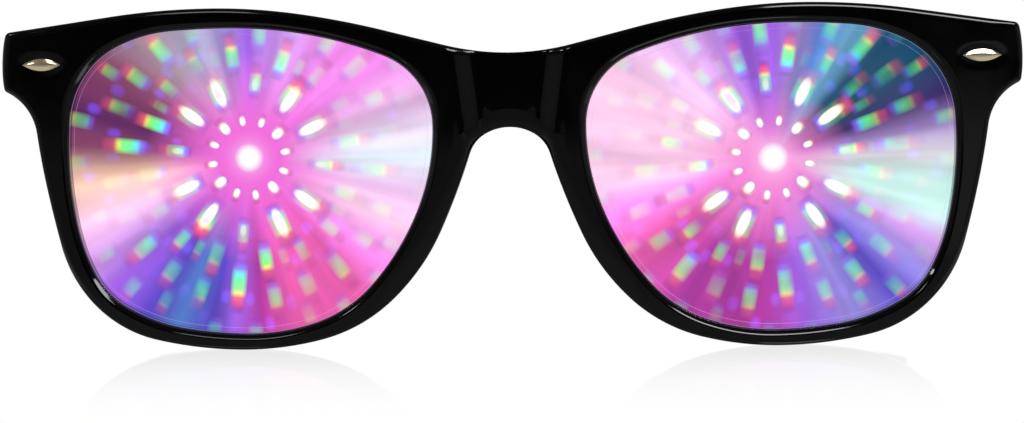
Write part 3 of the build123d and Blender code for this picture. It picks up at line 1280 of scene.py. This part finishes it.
    def half_grid(self) -> Array:
        """The left half's skin as a grid: along the outline, then round the rim's section.

        Each row joins the inner end of the outline's soft edge to the place of the
        opening at about the same angle round the lens. It runs from the opening's back
        edge over its wall and bevel, across the face, over the rounded outer edge, down
        the side, over the back's rounded edge and back across the back.

        Returns:
            Flat points as across, up and depth.
        """
        outer, outward, before_cut = self.outline()
        width, depth = self.edge.sizes(outer)
        front_end = self.drawn_in(outer, outward * width[:, None], before_cut)
        back_end = self.drawn_in(outer, outward * self.back_round, before_cut)
        inner, into = self.matched(front_end, self.fanned(outer, before_cut))
        bevel, thick, round_off = self.opening_bevel, self.thickness, self.back_round
        face_start = inner + into * (bevel + self.face_lip)
        back_start = inner + into * self.back_lip
        wall = (thick, thick - self.back_lip, *self.wall_depths, bevel + self.face_lip)
        lines: list[tuple[Array, Array | float]] = [(inner, deep) for deep in wall]
        for share in self.bevel_shares:
            lines.append((inner + into * bevel * share, bevel * (1 - share)))
        for share in np.linspace(0, 1, self.face_lines):
            lines.append((between(face_start, front_end, share), 0.0))
        for turn in quarter_turn(self.edge_lines)[1:]:
            place = between(front_end, outer, math.sin(turn))
            lines.append((place, depth * (1 - math.cos(turn))))
        lines.append((outer, depth + self.side_lip))
        lines.append((outer, thick - round_off - self.side_lip))
        for turn in quarter_turn(self.back_edge_lines):
            place = between(outer, back_end, 1 - math.cos(turn))
            lines.append((place, thick - round_off * (1 - math.sin(turn))))
        for share in np.linspace(0, 1, self.back_lines)[1:]:
            lines.append((between(back_end, back_start, share), thick))
        full = np.ones(len(outer))
        grid = np.stack([np.column_stack([place, deep * full]) for place, deep in lines], axis=1)
        across, up, deep = np.moveaxis(grid, -1, 0)
        carved = self.recess.depth(across, up) + self.dish.depth(across, up)
        grid[..., 2] += carved * np.clip(1 - deep / (self.carved_share * thick), 0.0, 1.0)
        return grid

    def half_skin(self) -> Skin:
        """The left half of the plate, without the faces on the bridge's middle plane.

        Returns:
            The plate's skin.
        """
        grid = self.half_grid()
        rows, columns = grid.shape[:2]
        faces = grid_faces(rows, columns, True, True)
        across = grid[..., 0].reshape(-1)
        kept = faces[~np.all(np.abs(across[faces]) < WELD, axis=1)]
        skin = Skin()
        skin.add(self.bent(grid), kept)
        return skin

    def build(self, plastic: bpy.types.Material) -> None:
        """Makes the whole front, with its end pieces and nose pads.

        Args:
            plastic: The front's material.
        """
        whole = Skin()
        for part in (self.half_skin(), EndPiece(self).skin(), NosePad(self).skin()):
            whole.join(part.mirrored())
            whole.join(part)
        whole.piece(
            "moulded_front", plastic, body="front", slot="frame_plastic", node="front_frame"
        )


@dataclass
class EndPiece:
    """The thick end piece behind the plate, which ends just before the temple's joint."""

    front: FrontShell
    half: tuple[float, float] = (4.35, 3.7)
    middle: tuple[float, float] = (67.45, 40.48)
    corner: float = 0.9
    soft: float = 0.35
    joint_back: float = -59.0873
    joint_gap: float = 0.02
    points: int = 48
    end_lines: int = 6

    def ring(self, drawn: float) -> Array:
        """Across and up round a rounded rectangle whose corners are drawn in."""
        steps = directions(full_turn(self.points))
        corners = np.array(self.middle) + np.sign(steps) * (np.array(self.half) - self.corner)
        return corners + (self.corner - drawn) * steps

    def skin(self) -> Skin:
        """The wearer's left end piece: carried straight back and drawn in by a quarter circle.

        Returns:
            The end piece's skin.
        """
        inside = np.full(self.points, self.front.thickness / 2)
        loops = [self.front.bent(np.column_stack([self.ring(0.0), inside]))]
        for turn in quarter_turn(self.end_lines):
            across, up = self.ring(self.soft * (1 - math.cos(turn))).T
            back = self.joint_back - self.joint_gap - self.soft * (1 - math.sin(turn))
            loops.append(np.column_stack([across, np.full(self.points, back), up]))
        return Skin.tube(np.stack(loops))


@dataclass
class NosePad:
    """A nose pad moulded on the side of the nose arch, as a soft pillow."""

    front: FrontShell
    across: float = 10.6
    level: float = 17.5
    sunk: float = 1.0
    tilt: float = 26.3
    lean: float = 12.0
    thick: float = 2.2
    tall: float = 6.8
    foot: float = 0.9
    half_top: float = 5.5
    half_foot: float = 8.0
    corner: float = 2.4
    pillow: float = 0.8
    points: int = 64
    loops: int = 13

    def axes(self) -> tuple[Array, Array, Array]:
        """Unit directions along the pad, through it, and out from its foot to its top.

        Returns:
            The three directions.
        """
        tilt, lean = math.radians(self.tilt), math.radians(self.lean)
        along = np.array([math.sin(tilt), 0.0, -math.cos(tilt)])
        outward = np.array([math.cos(tilt), 0.0, math.sin(tilt)])
        rear = np.array([0.0, 1.0, 0.0])
        through = outward * math.cos(lean) - rear * math.sin(lean)
        return along, through, rear * math.cos(lean) + outward * math.sin(lean)

    def skin(self) -> Skin:
        """The wearer's left nose pad.

        Its profile is a rounded trapezium, carried through the pad's thickness and drawn
        in by a half ellipse at both sides.

        Returns:
            The pad's skin.
        """
        along, through, reach = self.axes()
        back = self.front.face_back(self.across) + self.front.thickness - self.sunk
        root = np.array([self.across, back, self.level])
        steps = directions(full_turn(self.points))
        at_top = steps[:, 1] > 0
        level = np.where(at_top, self.tall - self.corner, self.foot)
        half = np.where(at_top, self.half_top, self.half_foot) - self.corner
        loops = []
        for turn in np.linspace(-np.pi / 2, np.pi / 2, self.loops):
            soft = self.corner - self.pillow * (1 - math.cos(turn))
            side = np.sign(steps[:, 0]) * half + soft * steps[:, 0]
            out = level + soft * steps[:, 1]
            middle = root + through * (self.thick / 2 + self.thick / 2 * math.sin(turn))
            loops.append(middle + side[:, None] * along + out[:, None] * reach)
        return Skin.tube(np.stack(loops))


# The lenses and their films


RING_SHARES = (1e-4, *np.linspace(0.08, 1.0, 12))
EDGE_MARGINS = (0.95, 0.82, 0.75, 0.68, 0.55)


@dataclass
class BentDisc:
    """A disc as large as the lens opening, bent like the front."""

    front: FrontShell
    margin: float
    near: float
    far: float
    bevel_from: float = 0.0
    bevel_depth: float = 0.0
    flat_margin: float = 1.3

    def skin(self) -> Skin:
        """The disc's skin: rings drawn in towards the lens's middle, on both faces.

        Returns:
            The disc's skin.
        """
        points, away = self.front.opening()
        centre = np.array(self.front.lens_centre)
        edge = points + away * self.margin
        inside = points - away * self.flat_margin
        sunk = self.near + self.bevel_depth
        rings = [(between(centre, inside, share), self.near) for share in RING_SHARES]
        for margin in (*EDGE_MARGINS, self.bevel_from):
            rings.append((points - away * margin, self.near))
        rings += [(points, sunk), (edge, sunk), (edge, self.far)]
        rings += [(between(centre, edge, share), self.far) for share in RING_SHARES[::-1]]
        full = np.ones(len(points))
        flat = np.stack([np.column_stack([ring, deep * full]) for ring, deep in rings])
        return Skin.tube(self.front.bent(flat))


@dataclass
class LensSet:
    """The clear lens and the diffraction film behind it, on one side."""

    side: Side
    front: FrontShell
    lens_near: float = 1.55
    lens_far: float = 3.35
    film_far: float = 3.6
    film_gap: float = 0.01
    hold: float = 0.78
    bevel: float = 0.14
    line_margin: float = 0.75
    line_strength: float = 0.8
    line_slack: float = 0.02
    line_search: tuple[float, float] = (0.3, 1.3)

    def build(self, clear: bpy.types.Material, film: bpy.types.Material) -> None:
        """Makes the lens and its film.

        Args:
            clear: The lens's material.
            film: The film's material, with its burst of light.
        """
        word = self.side.word
        far = self.lens_far - self.film_gap
        disc = BentDisc(self.front, self.hold, self.lens_near, far, self.bevel, self.bevel)
        lens = disc.skin().on(self.side).piece(
            f"{word}_clear_lens", clear, body="front", slot="lens_clear", node=f"{word}_lens"
        )
        self.mark_edge(lens)
        sheet = BentDisc(self.front, self.hold, self.lens_far, self.film_far)
        sheet.skin().on(self.side).piece(
            f"{word}_light_film",
            film,
            body="front",
            slot="diffraction_film",
            node=f"{word}_diffraction_film",
        )

    def mark_edge(self, lens: bpy.types.Object) -> None:
        """Stores the edge attribute, which places the lens's painted highlight: 1 on the bevel, less
        on a fine line inside it, else 0.

        Args:
            lens: The lens, as it was made.
        """
        mesh = lens.data
        flat = np.empty(len(mesh.vertices) * 3)
        mesh.vertices.foreach_get("co", flat)
        places = flat.reshape(-1, 3) / MILLIMETRE
        points, _ = self.front.opening()
        centre = np.array(self.front.lens_centre)
        own = np.column_stack([np.abs(places[:, 0]), places[:, 2]])
        angles, around = bearings(points, centre), bearings(own, centre)
        radii = np.hypot(*(points - centre).T)
        inwards = np.interp(around, angles, radii, period=2 * np.pi) - np.hypot(*(own - centre).T)
        value = (inwards < self.bevel / 2).astype(np.float32)
        low, high = self.line_search
        band = np.flatnonzero((inwards > low) & (inwards < high))
        gaps = np.linalg.norm(own[band, None] - points[None], axis=2).min(axis=1)
        on_line = np.abs(gaps - self.line_margin) < self.line_slack
        value[band[on_line]] = self.line_strength
        back = self.front.bend_radius + self.front.foremost - places[:, 1]
        depth = self.front.bend_radius - np.hypot(places[:, 0], back)
        value *= depth < (self.lens_near + self.lens_far) / 2
        attribute = mesh.attributes.new("edge", "FLOAT", "POINT")
        attribute.data.foreach_set("value", value)


# The rivets


@dataclass
class FaceRivet:
    """A pointed oval rivet with a soft crown, in its dish on the face."""

    side: Side
    front: FrontShell
    length: float = 6.3
    width: float = 2.15
    crown: float = 0.52
    ridge: float = 0.12
    end_power: float = 0.45
    side_power: float = 0.92
    sink: float = 0.3
    skirt: float = 0.15
    lines: tuple[int, int] = (41, 21)

    def skin(self) -> Skin:
        """The dome's skin on the wearer's left side.

        Lines across the oval are as wide as its two arcs are apart. The height is the
        crown times a power of the share of the oval's width left there. It falls to both
        sides as a power of a roof with a soft ridge: one less the root of the place across
        squared and the ridge squared, scaled to reach 1 and 0. A short skirt runs into
        the dish.

        Returns:
            The skin.
        """
        along, over = (np.sin(np.linspace(-np.pi / 2, np.pi / 2, count)) for count in self.lines)
        half_long, half_wide = self.length / 2, self.width / 2
        arc = (half_long**2 + half_wide**2) / (2 * half_wide)
        breadth = np.sqrt(arc**2 - (along * half_long) ** 2) - (arc - half_wide)
        share = np.maximum(breadth / half_wide, 0.0)
        roof = 1 - (np.sqrt(over**2 + self.ridge**2) - self.ridge) / (
            math.sqrt(1 + self.ridge**2) - self.ridge
        )
        high = self.crown * share[:, None] ** self.end_power * roof[None, :] ** self.side_power
        flat_x = np.repeat((along * half_long)[:, None], len(over), axis=1)
        flat_y = breadth[:, None] * over[None, :]
        top = np.stack([flat_x, flat_y, high], axis=-1)
        rim_top = self.ring(top)
        rim_under = rim_top * (1.0, 1.0, 0.0) - (0.0, 0.0, self.skirt)
        skin = Skin()
        skin.add(self.seated(top), grid_faces(len(along), len(over), False, False))
        skin.add_tube(self.seated(np.stack([rim_top, rim_under])), capped=False)
        skin.add_fan(self.seated(rim_under))
        return skin

    def ring(self, grid: Array) -> Array:
        """The points round the border of a grid."""
        return np.concatenate([grid[:, 0], grid[-1, 1:], grid[-2::-1, -1], grid[0, -2:0:-1]])

    def seated(self, flat: Array) -> Array:
        """Carries points of along, across and height to the rivet's tilted seat.

        The seat is square to the bent face, and lies below it by the sink.

        Args:
            flat: The points, in millimetres.

        Returns:
            The points as across, back and up.
        """
        across, up = self.front.dish.middle
        radius = self.front.bend_radius
        tip = math.asin(across / radius)
        sideways = np.array([math.cos(tip), math.sin(tip), 0.0])
        upward = np.array([0.0, 0.0, 1.0])
        normal = np.array([math.sin(tip), -math.cos(tip), 0.0])
        axis = np.array([0.0, self.front.foremost + radius, up])
        centre = axis + normal * (radius - self.sink)
        return centre + flat[..., :1] * sideways + flat[..., 1:2] * upward + flat[..., 2:] * normal

    def build(self, metal: bpy.types.Material) -> None:
        """Makes the rivet.

        Args:
            metal: The rivet's material.
        """
        word = self.side.word
        self.skin().on(self.side).piece(
            f"{word}_face_rivet", metal, body="front", slot="rivet_metal", node=f"{word}_rivet"
        )


# The hinges and fixings, which keep their solids


@dataclass
class HingeDress:
    """Dresses the hinge, its screw and the fixings on one side."""

    side: Side

    def build(self, steel: bpy.types.Material, screw_steel: bpy.types.Material) -> None:
        """Gives each solid its metal.

        Args:
            steel: The metal of both hinge leaves.
            screw_steel: That of screw and fixings.
        """
        dressed = {
            "front_hinge": steel,
            "temple_hinge": steel,
            "hinge_screw": screw_steel,
            "temple_fixings": screw_steel,
        }
        for word, metal in dressed.items():
            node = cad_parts[f"{self.side.word}_{word}"]
            node.data.materials.clear()
            node.data.materials.append(metal)
            LOG.info("%s dressed in %s", node.name, metal.name)


# The temples


@dataclass
class TempleArm:
    """A temple: a bar with soft edges that bends down at the ear and in to the head."""

    side: Side
    start: float = -58.9873
    end: float = 75.0
    root_level: float = 40.48
    slope: float = 4.5
    ear_bend: float = 36.0
    bend_radius: float = 26.0
    root_height: float = 7.4
    waist_height: float = 6.4
    tip_height: float = 7.6
    outer: float = 71.4
    inner: float = 67.0
    leaf_relief: float = 0.02
    straight: float = 42.0
    toe_in: float = 7.0
    tip_thickness: float = 3.4
    edge: float = 0.8
    root_soft: float = 0.35
    arm_from: float = 0.8
    lean_over: float = 4.0
    root_lines: int = 6
    arm_lines: int = 40
    bend_lines: int = 25
    tail_lines: int = 16
    tip_share: float = 0.9999
    corner_share: float = 0.98
    least_soft: float = 0.05
    points: int = 44

    def lengths(self) -> tuple[float, float]:
        """The straight parts before and after the ear bend.

        They are the two lengths that carry the middle line from the root, through the
        bend, to the middle of the round tip, which just stands on the floor.

        Returns:
            The length of the arm and that of the tail.
        """
        dip, hook = math.radians(self.slope), math.radians(self.slope + self.ear_bend)
        run = self.end - self.tip_height / 2 - self.start
        run -= self.bend_radius * (math.sin(hook) - math.sin(dip))
        drop = self.root_level - self.tip_height / 2
        drop -= self.bend_radius * (math.cos(dip) - math.cos(hook))
        spread = math.sin(hook - dip)
        arm = (run * math.sin(hook) - drop * math.cos(hook)) / spread
        tail = (drop * math.cos(dip) - run * math.sin(dip)) / spread
        return arm, tail

    def stations(self) -> Array:
        """Places along the middle line as seen from the side.

        Returns:
            One line each of place back, level, dip, half height and how far the section
            is drawn in there: at the root over a small rounding, and at the tip, where
            the half height follows a circle.
        """
        arm, tail = self.lengths()
        dip, hook = math.radians(self.slope), math.radians(self.slope + self.ear_bend)
        turns = quarter_turn(self.root_lines)
        first = self.root_soft * (1 - np.cos(turns))
        reach = np.concatenate([first, np.linspace(self.arm_from, arm, self.arm_lines)])
        drawn = np.concatenate([self.root_soft * (1 - np.sin(turns)), np.zeros(self.arm_lines)])
        back = self.start + reach * math.cos(dip)
        level = self.root_level - reach * math.sin(dip)
        lean = dip * eased(reach / self.lean_over)
        height = self.root_height + (self.waist_height - self.root_height) * reach / arm
        rows = [np.column_stack([back, level, lean, height / 2, drawn])]
        bend = np.linspace(dip, hook, self.bend_lines)[1:]
        radius = self.bend_radius
        back = rows[0][-1, 0] + radius * (np.sin(bend) - math.sin(dip))
        level = rows[0][-1, 1] - radius * (math.cos(dip) - np.cos(bend))
        waist = np.full(len(bend), self.waist_height / 2)
        rows.append(np.column_stack([back, level, bend, waist, waist * 0]))
        share = np.linspace(0, 1, self.tail_lines)[1:]
        tip = self.tip_height / 2
        half = between(waist[0], tip, eased(share))
        beyond = np.sin(quarter_turn(self.tail_lines)[1:]) * tip * self.tip_share
        reach = np.concatenate([share * tail, tail + beyond])
        half = np.concatenate([half, np.sqrt(tip**2 - beyond**2)])
        back = rows[1][-1, 0] + reach * math.cos(hook)
        level = rows[1][-1, 1] - reach * math.sin(hook)
        rows.append(np.column_stack([back, level, reach * 0 + hook, half, reach * 0]))
        return np.concatenate(rows)

    def plan(self, back: Array) -> tuple[Array, Array]:
        """Where the inner and outer faces lie at places back.

        Each is straight and then follows an arc that leaves it smoothly: the arc that
        moves in by a toe over a run has the radius (run squared + toe squared) over
        twice the toe.

        Args:
            back: Places back.

        Returns:
            The inner face's and the outer face's distances from the middle.
        """
        run = self.end - self.start - self.straight
        gone = np.clip(back - self.start - self.straight, 0.0, run)
        sides = []
        thick_start = self.outer - self.inner
        toes = (self.toe_in - (thick_start - self.tip_thickness), self.toe_in)
        for place, toe in zip((self.inner + self.leaf_relief, self.outer), toes):
            radius = (run**2 + toe**2) / (2 * toe)
            sides.append(place - (radius - np.sqrt(radius**2 - gone**2)))
        return sides[0], sides[1]

    def skin(self) -> Skin:
        """The wearer's left temple: rounded rectangles along the middle line.

        Returns:
            The temple's skin.
        """
        steps = directions(full_turn(self.points)).T
        middle, height, lean, half, drawn = self.stations().T[:, :, None]
        inner, outer = self.plan(middle)
        thick = (outer - inner) / 2
        corner = np.minimum(self.edge, np.minimum(half, thick) * self.corner_share)
        soft = np.maximum(corner - drawn, self.least_soft)
        wide, tall = (
            np.sign(step) * (size - corner) + soft * step for step, size in zip(steps, (thick, half))
        )
        back = middle + np.sin(lean) * tall
        level = height + np.cos(lean) * tall
        near, far = self.plan(back)
        return Skin.tube(np.stack([(near + far) / 2 + wide, back, level], axis=-1))

    def build(self, plastic: bpy.types.Material) -> None:
        """Makes the temple.

        Args:
            plastic: The temple's material.
        """
        word = self.side.word
        self.skin().on(self.side).piece(
            f"{word}_moulded_temple",
            plastic,
            body=self.side.arm,
            slot="temple_plastic",
            node=f"{word}_temple",
        )


# The studio


@dataclass(frozen=True)
class Lamp:
    """A soft rectangular lamp: its place and size in metres, its watts and its turn."""

    name: str
    place: tuple[float, float, float]
    size: tuple[float, float]
    power: float
    turn: float = 0.0
    colour: Colour = (0.94, 0.93, 1.0)

    def build(self) -> None:
        """Hangs the lamp, facing down and turned about the upright by its turn."""
        data = bpy.data.lights.new(self.name, "AREA")
        data.shape, data.energy = "RECTANGLE", self.power
        data.size, data.size_y = self.size
        data.color = self.colour
        lamp = bpy.data.objects.new(self.name, data)
        lamp.location = self.place
        lamp.rotation_euler = (0.0, 0.0, math.radians(self.turn))
        bpy.context.scene.collection.objects.link(lamp)


LAMPS: tuple[Lamp, ...] = (
    Lamp("over_left_brow", (0.385, -0.37, 0.61), (0.43, 0.28), 3.6, 14.0),
    Lamp("over_right_brow", (-0.305, -0.43, 0.61), (0.17, 0.2), 0.42, -12.0),
    Lamp("beside_right", (-0.66, -0.34, 0.61), (0.1, 0.14), 0.5, -20.0),
)


@dataclass(frozen=True)
class PhotoCamera:
    """A camera at the photograph's place: metres, degrees, and millimetres of lens."""

    distance: float = 0.45
    azimuth: float = 1.5
    elevation: float = 3.0
    roll: float = 0.62
    target: tuple[float, float, float] = (0.00028, -0.075, 0.0193)
    focal: float = 113.77
    sensor: float = 36.0
    clip: tuple[float, float] = (0.01, 50.0)

    def build(self) -> None:
        """Puts the camera at its distance from the target, turned and rolled."""
        turn, rise, roll = (math.radians(a) for a in (self.azimuth, self.elevation, self.roll))
        back = Vector(
            (math.sin(turn) * math.cos(rise), -math.cos(turn) * math.cos(rise), math.sin(rise))
        )
        right = Vector((math.cos(turn), math.sin(turn), 0.0))
        up = back.cross(right)
        rolled_right = right * math.cos(roll) - up * math.sin(roll)
        rolled_up = right * math.sin(roll) + up * math.cos(roll)
        data = bpy.data.cameras.new("camera")
        data.lens, data.sensor_width, data.sensor_fit = self.focal, self.sensor, "HORIZONTAL"
        data.clip_start, data.clip_end = self.clip
        camera = bpy.data.objects.new("camera", data)
        camera.matrix_world = Matrix((rolled_right, rolled_up, back)).transposed().to_4x4()
        camera.location = Vector(self.target) + back * self.distance
        bpy.context.scene.collection.objects.link(camera)
        bpy.context.scene.camera = camera


@dataclass(frozen=True)
class Sky:
    """Light from all round: white to the camera, dark ahead of the glasses, dim beside.

    The levels run from straight ahead, 0, to straight behind, 1, and fade upwards.
    """

    levels: tuple[tuple[float, float], ...] = (
        (0.0, 0.01),
        (0.126, 0.01),
        (0.142, 0.115),
        (0.5, 0.22),
        (0.7, 0.3),
        (1.0, 0.4),
    )
    upwards: Fade = Fade(0.12, 0.4, 1.0, 0.25)

    def build(self) -> None:
        """Makes the sky the scene's world."""
        world = bpy.data.worlds.new("studio")
        world.use_nodes = True
        bpy.context.scene.world = world
        nodes = Nodes(world.node_tree)
        way = nodes.add("ShaderNodeTexCoord").outputs["Generated"]
        _, back, up = nodes.add("ShaderNodeSeparateXYZ", {0: way}).outputs
        stops = [(place, (level, level, level, 1.0)) for place, level in self.levels]
        colour = nodes.ramp(nodes.faded(back, Fade(-1.0, 1.0)), stops)
        lit = nodes.add("ShaderNodeBackground", {0: colour, 1: nodes.faded(up, self.upwards)})
        white = nodes.add("ShaderNodeBackground", {0: WHITE})
        seen = nodes.add("ShaderNodeLightPath").outputs["Is Camera Ray"]
        both = nodes.add("ShaderNodeMixShader", {0: seen, 1: lit.outputs[0], 2: white.outputs[0]})
        nodes.add("ShaderNodeOutputWorld", {0: both.outputs[0]})


def stand_card(name: str, corners: Sequence[Sequence[float]], material: bpy.types.Material) -> None:
    """Puts a flat card of four corners on the stage, where it is no piece of the object.

    Args:
        name: The card's name.
        corners: Its corners in metres.
        material: Its material.
    """
    mesh = bpy.data.meshes.new(name)
    mesh.from_pydata(corners, [], [(0, 1, 2, 3)])
    mesh.materials.append(material)
    card = bpy.data.objects.new(name, mesh)
    bpy.context.scene.collection.objects.link(card)


@dataclass(frozen=True)
class Floor:
    """A floor that the camera sees white and that is mostly dark to the glasses.

    Places are in metres. The camera doesn't see the floor's own lights, which are there
    for the reflections on the glasses: one far ahead, one close ahead, a wedge on the
    wearer's left and a patch on either side of the end pieces.
    """

    half: float = 3.0
    level: float = -0.00005
    roughness: float = 0.03
    mirror_ahead: Fade = Fade(-0.165, -0.078)
    mirror_share: Fade = Fade(0.003, 0.008, 0.18, 0.0)
    foot_across: float = 0.037
    foot_back: float = -0.0725
    foot_curve: float = 85.0
    far_light: Fade = Fade(-1.1, -0.95, 0.006, 0.125)
    close_light: Fade = Fade(-0.21, -0.12, 0.0, 0.07)
    wedge_across: float = 0.06
    wedge_back: float = -0.066
    wedge_slopes: tuple[float, float] = (0.53, 0.9)
    wedge_inner: Fade = Fade(-0.01, 0.03, 0.0, 0.28)
    wedge_outer: Fade = Fade(0.0, 0.02)
    wedge_far: Fade = Fade(-1.56, -1.48)
    wedge_near: Fade = Fade(-0.24, -0.16, 1.0, 0.35)
    patch_across: tuple[Fade, Fade] = (Fade(0.075, 0.087, 0.0, 0.27), Fade(0.125, 0.135, 1.0, 0.0))
    patch_back: tuple[Fade, Fade] = (Fade(-0.103, -0.096), Fade(-0.04, -0.03, 1.0, 0.0))

    def mirror(self, shader: Shader, side: Socket, back: Socket) -> Socket:
        """How much the floor mirrors: a little, just ahead of the two rims' feet.

        Behind a foot it stops along a curve, which comes forward by the square of the
        distance to the side of the foot, times the foot's curve.

        Args:
            shader: The shader that is being built.
            side: The distance from the middle.
            back: The place back.

        Returns:
            The share of the mirror.
        """
        near = shader.faded(back, self.mirror_ahead)
        off = shader.maths("SUBTRACT", side, self.foot_across)
        behind = shader.maths("SUBTRACT", back, self.foot_back)
        behind = shader.maths("ADD", behind, shader.product(off, off, self.foot_curve))
        return shader.product(near, near, shader.faded(behind, self.mirror_share))

    def wedge(self, shader: Shader, across: Socket, back: Socket) -> Socket:
        """A wedge of light that opens ahead, between two slopes from its tip.

        Args:
            shader: The shader that is being built.
            across: The place across.
            back: The place back.

        Returns:
            The wedge's light.
        """
        gone = shader.maths("SUBTRACT", back, self.wedge_back)
        beyond = shader.maths("SUBTRACT", across, self.wedge_across)
        low, high = (shader.product(gone, slope) for slope in self.wedge_slopes)
        inside = shader.faded(shader.maths("ADD", beyond, low), self.wedge_inner)
        over = shader.maths("MULTIPLY", shader.maths("ADD", high, beyond), -1.0)
        return shader.product(
            inside,
            shader.faded(over, self.wedge_outer),
            shader.faded(back, self.wedge_far),
            shader.faded(back, self.wedge_near),
        )

    def light(self, shader: Shader, across: Socket, side: Socket, back: Socket) -> Socket:
        """The light of the floor that only the glasses see.

        Args:
            shader: The shader that is being built.
            across: The place across.
            side: The distance from the middle.
            back: The place back.

        Returns:
            The light.
        """
        far = shader.faded(back, self.far_light)
        ahead = shader.maths("MAXIMUM", far, self.wedge(shader, across, back))
        limits = [shader.faded(side, fade) for fade in self.patch_across]
        limits += [shader.faded(back, fade) for fade in self.patch_back]
        close = shader.faded(back, self.close_light)
        beside = shader.maths("ADD", close, shader.product(*limits))
        return shader.maths("ADD", ahead, beside)

    def build(self) -> None:
        """Lays the floor."""
        shader = Shader("white_floor")
        across, back, _ = shader.add("ShaderNodeSeparateXYZ", {0: shader.place()}).outputs
        side = shader.maths("ABSOLUTE", across)
        seen = shader.add("ShaderNodeLightPath").outputs["Is Camera Ray"]
        strength = shader.maths("MAXIMUM", seen, self.light(shader, across, side, back))
        glow = shader.add("ShaderNodeEmission", {"Color": WHITE, "Strength": strength})
        gloss = shader.add("ShaderNodeBsdfGlossy", {"Color": WHITE, "Roughness": self.roughness})
        shares = {0: self.mirror(shader, side, back), 1: glow.outputs[0], 2: gloss.outputs[0]}
        both = shader.add("ShaderNodeMixShader", shares)
        shader.add("ShaderNodeOutputMaterial", {"Surface": both.outputs[0]})
        half, level = self.half, self.level
        ends = ((-half, -half), (half, -half), (half, half), (-half, half))
        stand_card("floor", [(*end, level) for end in ends], shader.material)


@dataclass(frozen=True)
class Backdrop:
    """A white card behind the glasses, which the floor mirrors."""

    half: float = 0.9
    tall: float = 0.35
    back: float = 0.9

    def build(self) -> None:
        """Stands the card up."""
        shader = Shader("white_card")
        glow = shader.add("ShaderNodeEmission", {"Color": WHITE})
        shader.add("ShaderNodeOutputMaterial", {"Surface": glow.outputs[0]})
        half, tall, back = self.half, self.tall, self.back
        corners = [(-half, back, 0.0), (half, back, 0.0), (half, back, tall), (-half, back, tall)]
        stand_card("backdrop", corners, shader.material)


def build_studio() -> None:
    """Sets up the camera, the sky, the floor, the card behind it and the lamps."""
    bpy.context.scene.view_settings.view_transform = "Standard"
    for part in (PhotoCamera(), Sky(), Floor(), Backdrop(), *LAMPS):
        part.build()
    LOG.info("studio ready")


def main() -> None:
    """Builds every piece in order, then the studio."""
    logging.basicConfig(level=logging.INFO, format="%(name)s: %(message)s")
    temple_plastic, clear = TEMPLE_PLASTIC.material(), ClearLens().material()
    steel, screw_steel = HINGE_STEEL.material(), SCREW_STEEL.material()
    nickel = RIVET_NICKEL.material()
    front = FrontShell()
    front.build(FRONT_PLASTIC.material())
    for side in Side:
        LensSet(side, front).build(clear, BurstShader(BURSTS[side]).film())
        FaceRivet(side, front).build(nickel)
        HingeDress(side).build(steel, screw_steel)
        TempleArm(side).build(temple_plastic)
    build_studio()


if __name__ == "__main__":
    main()
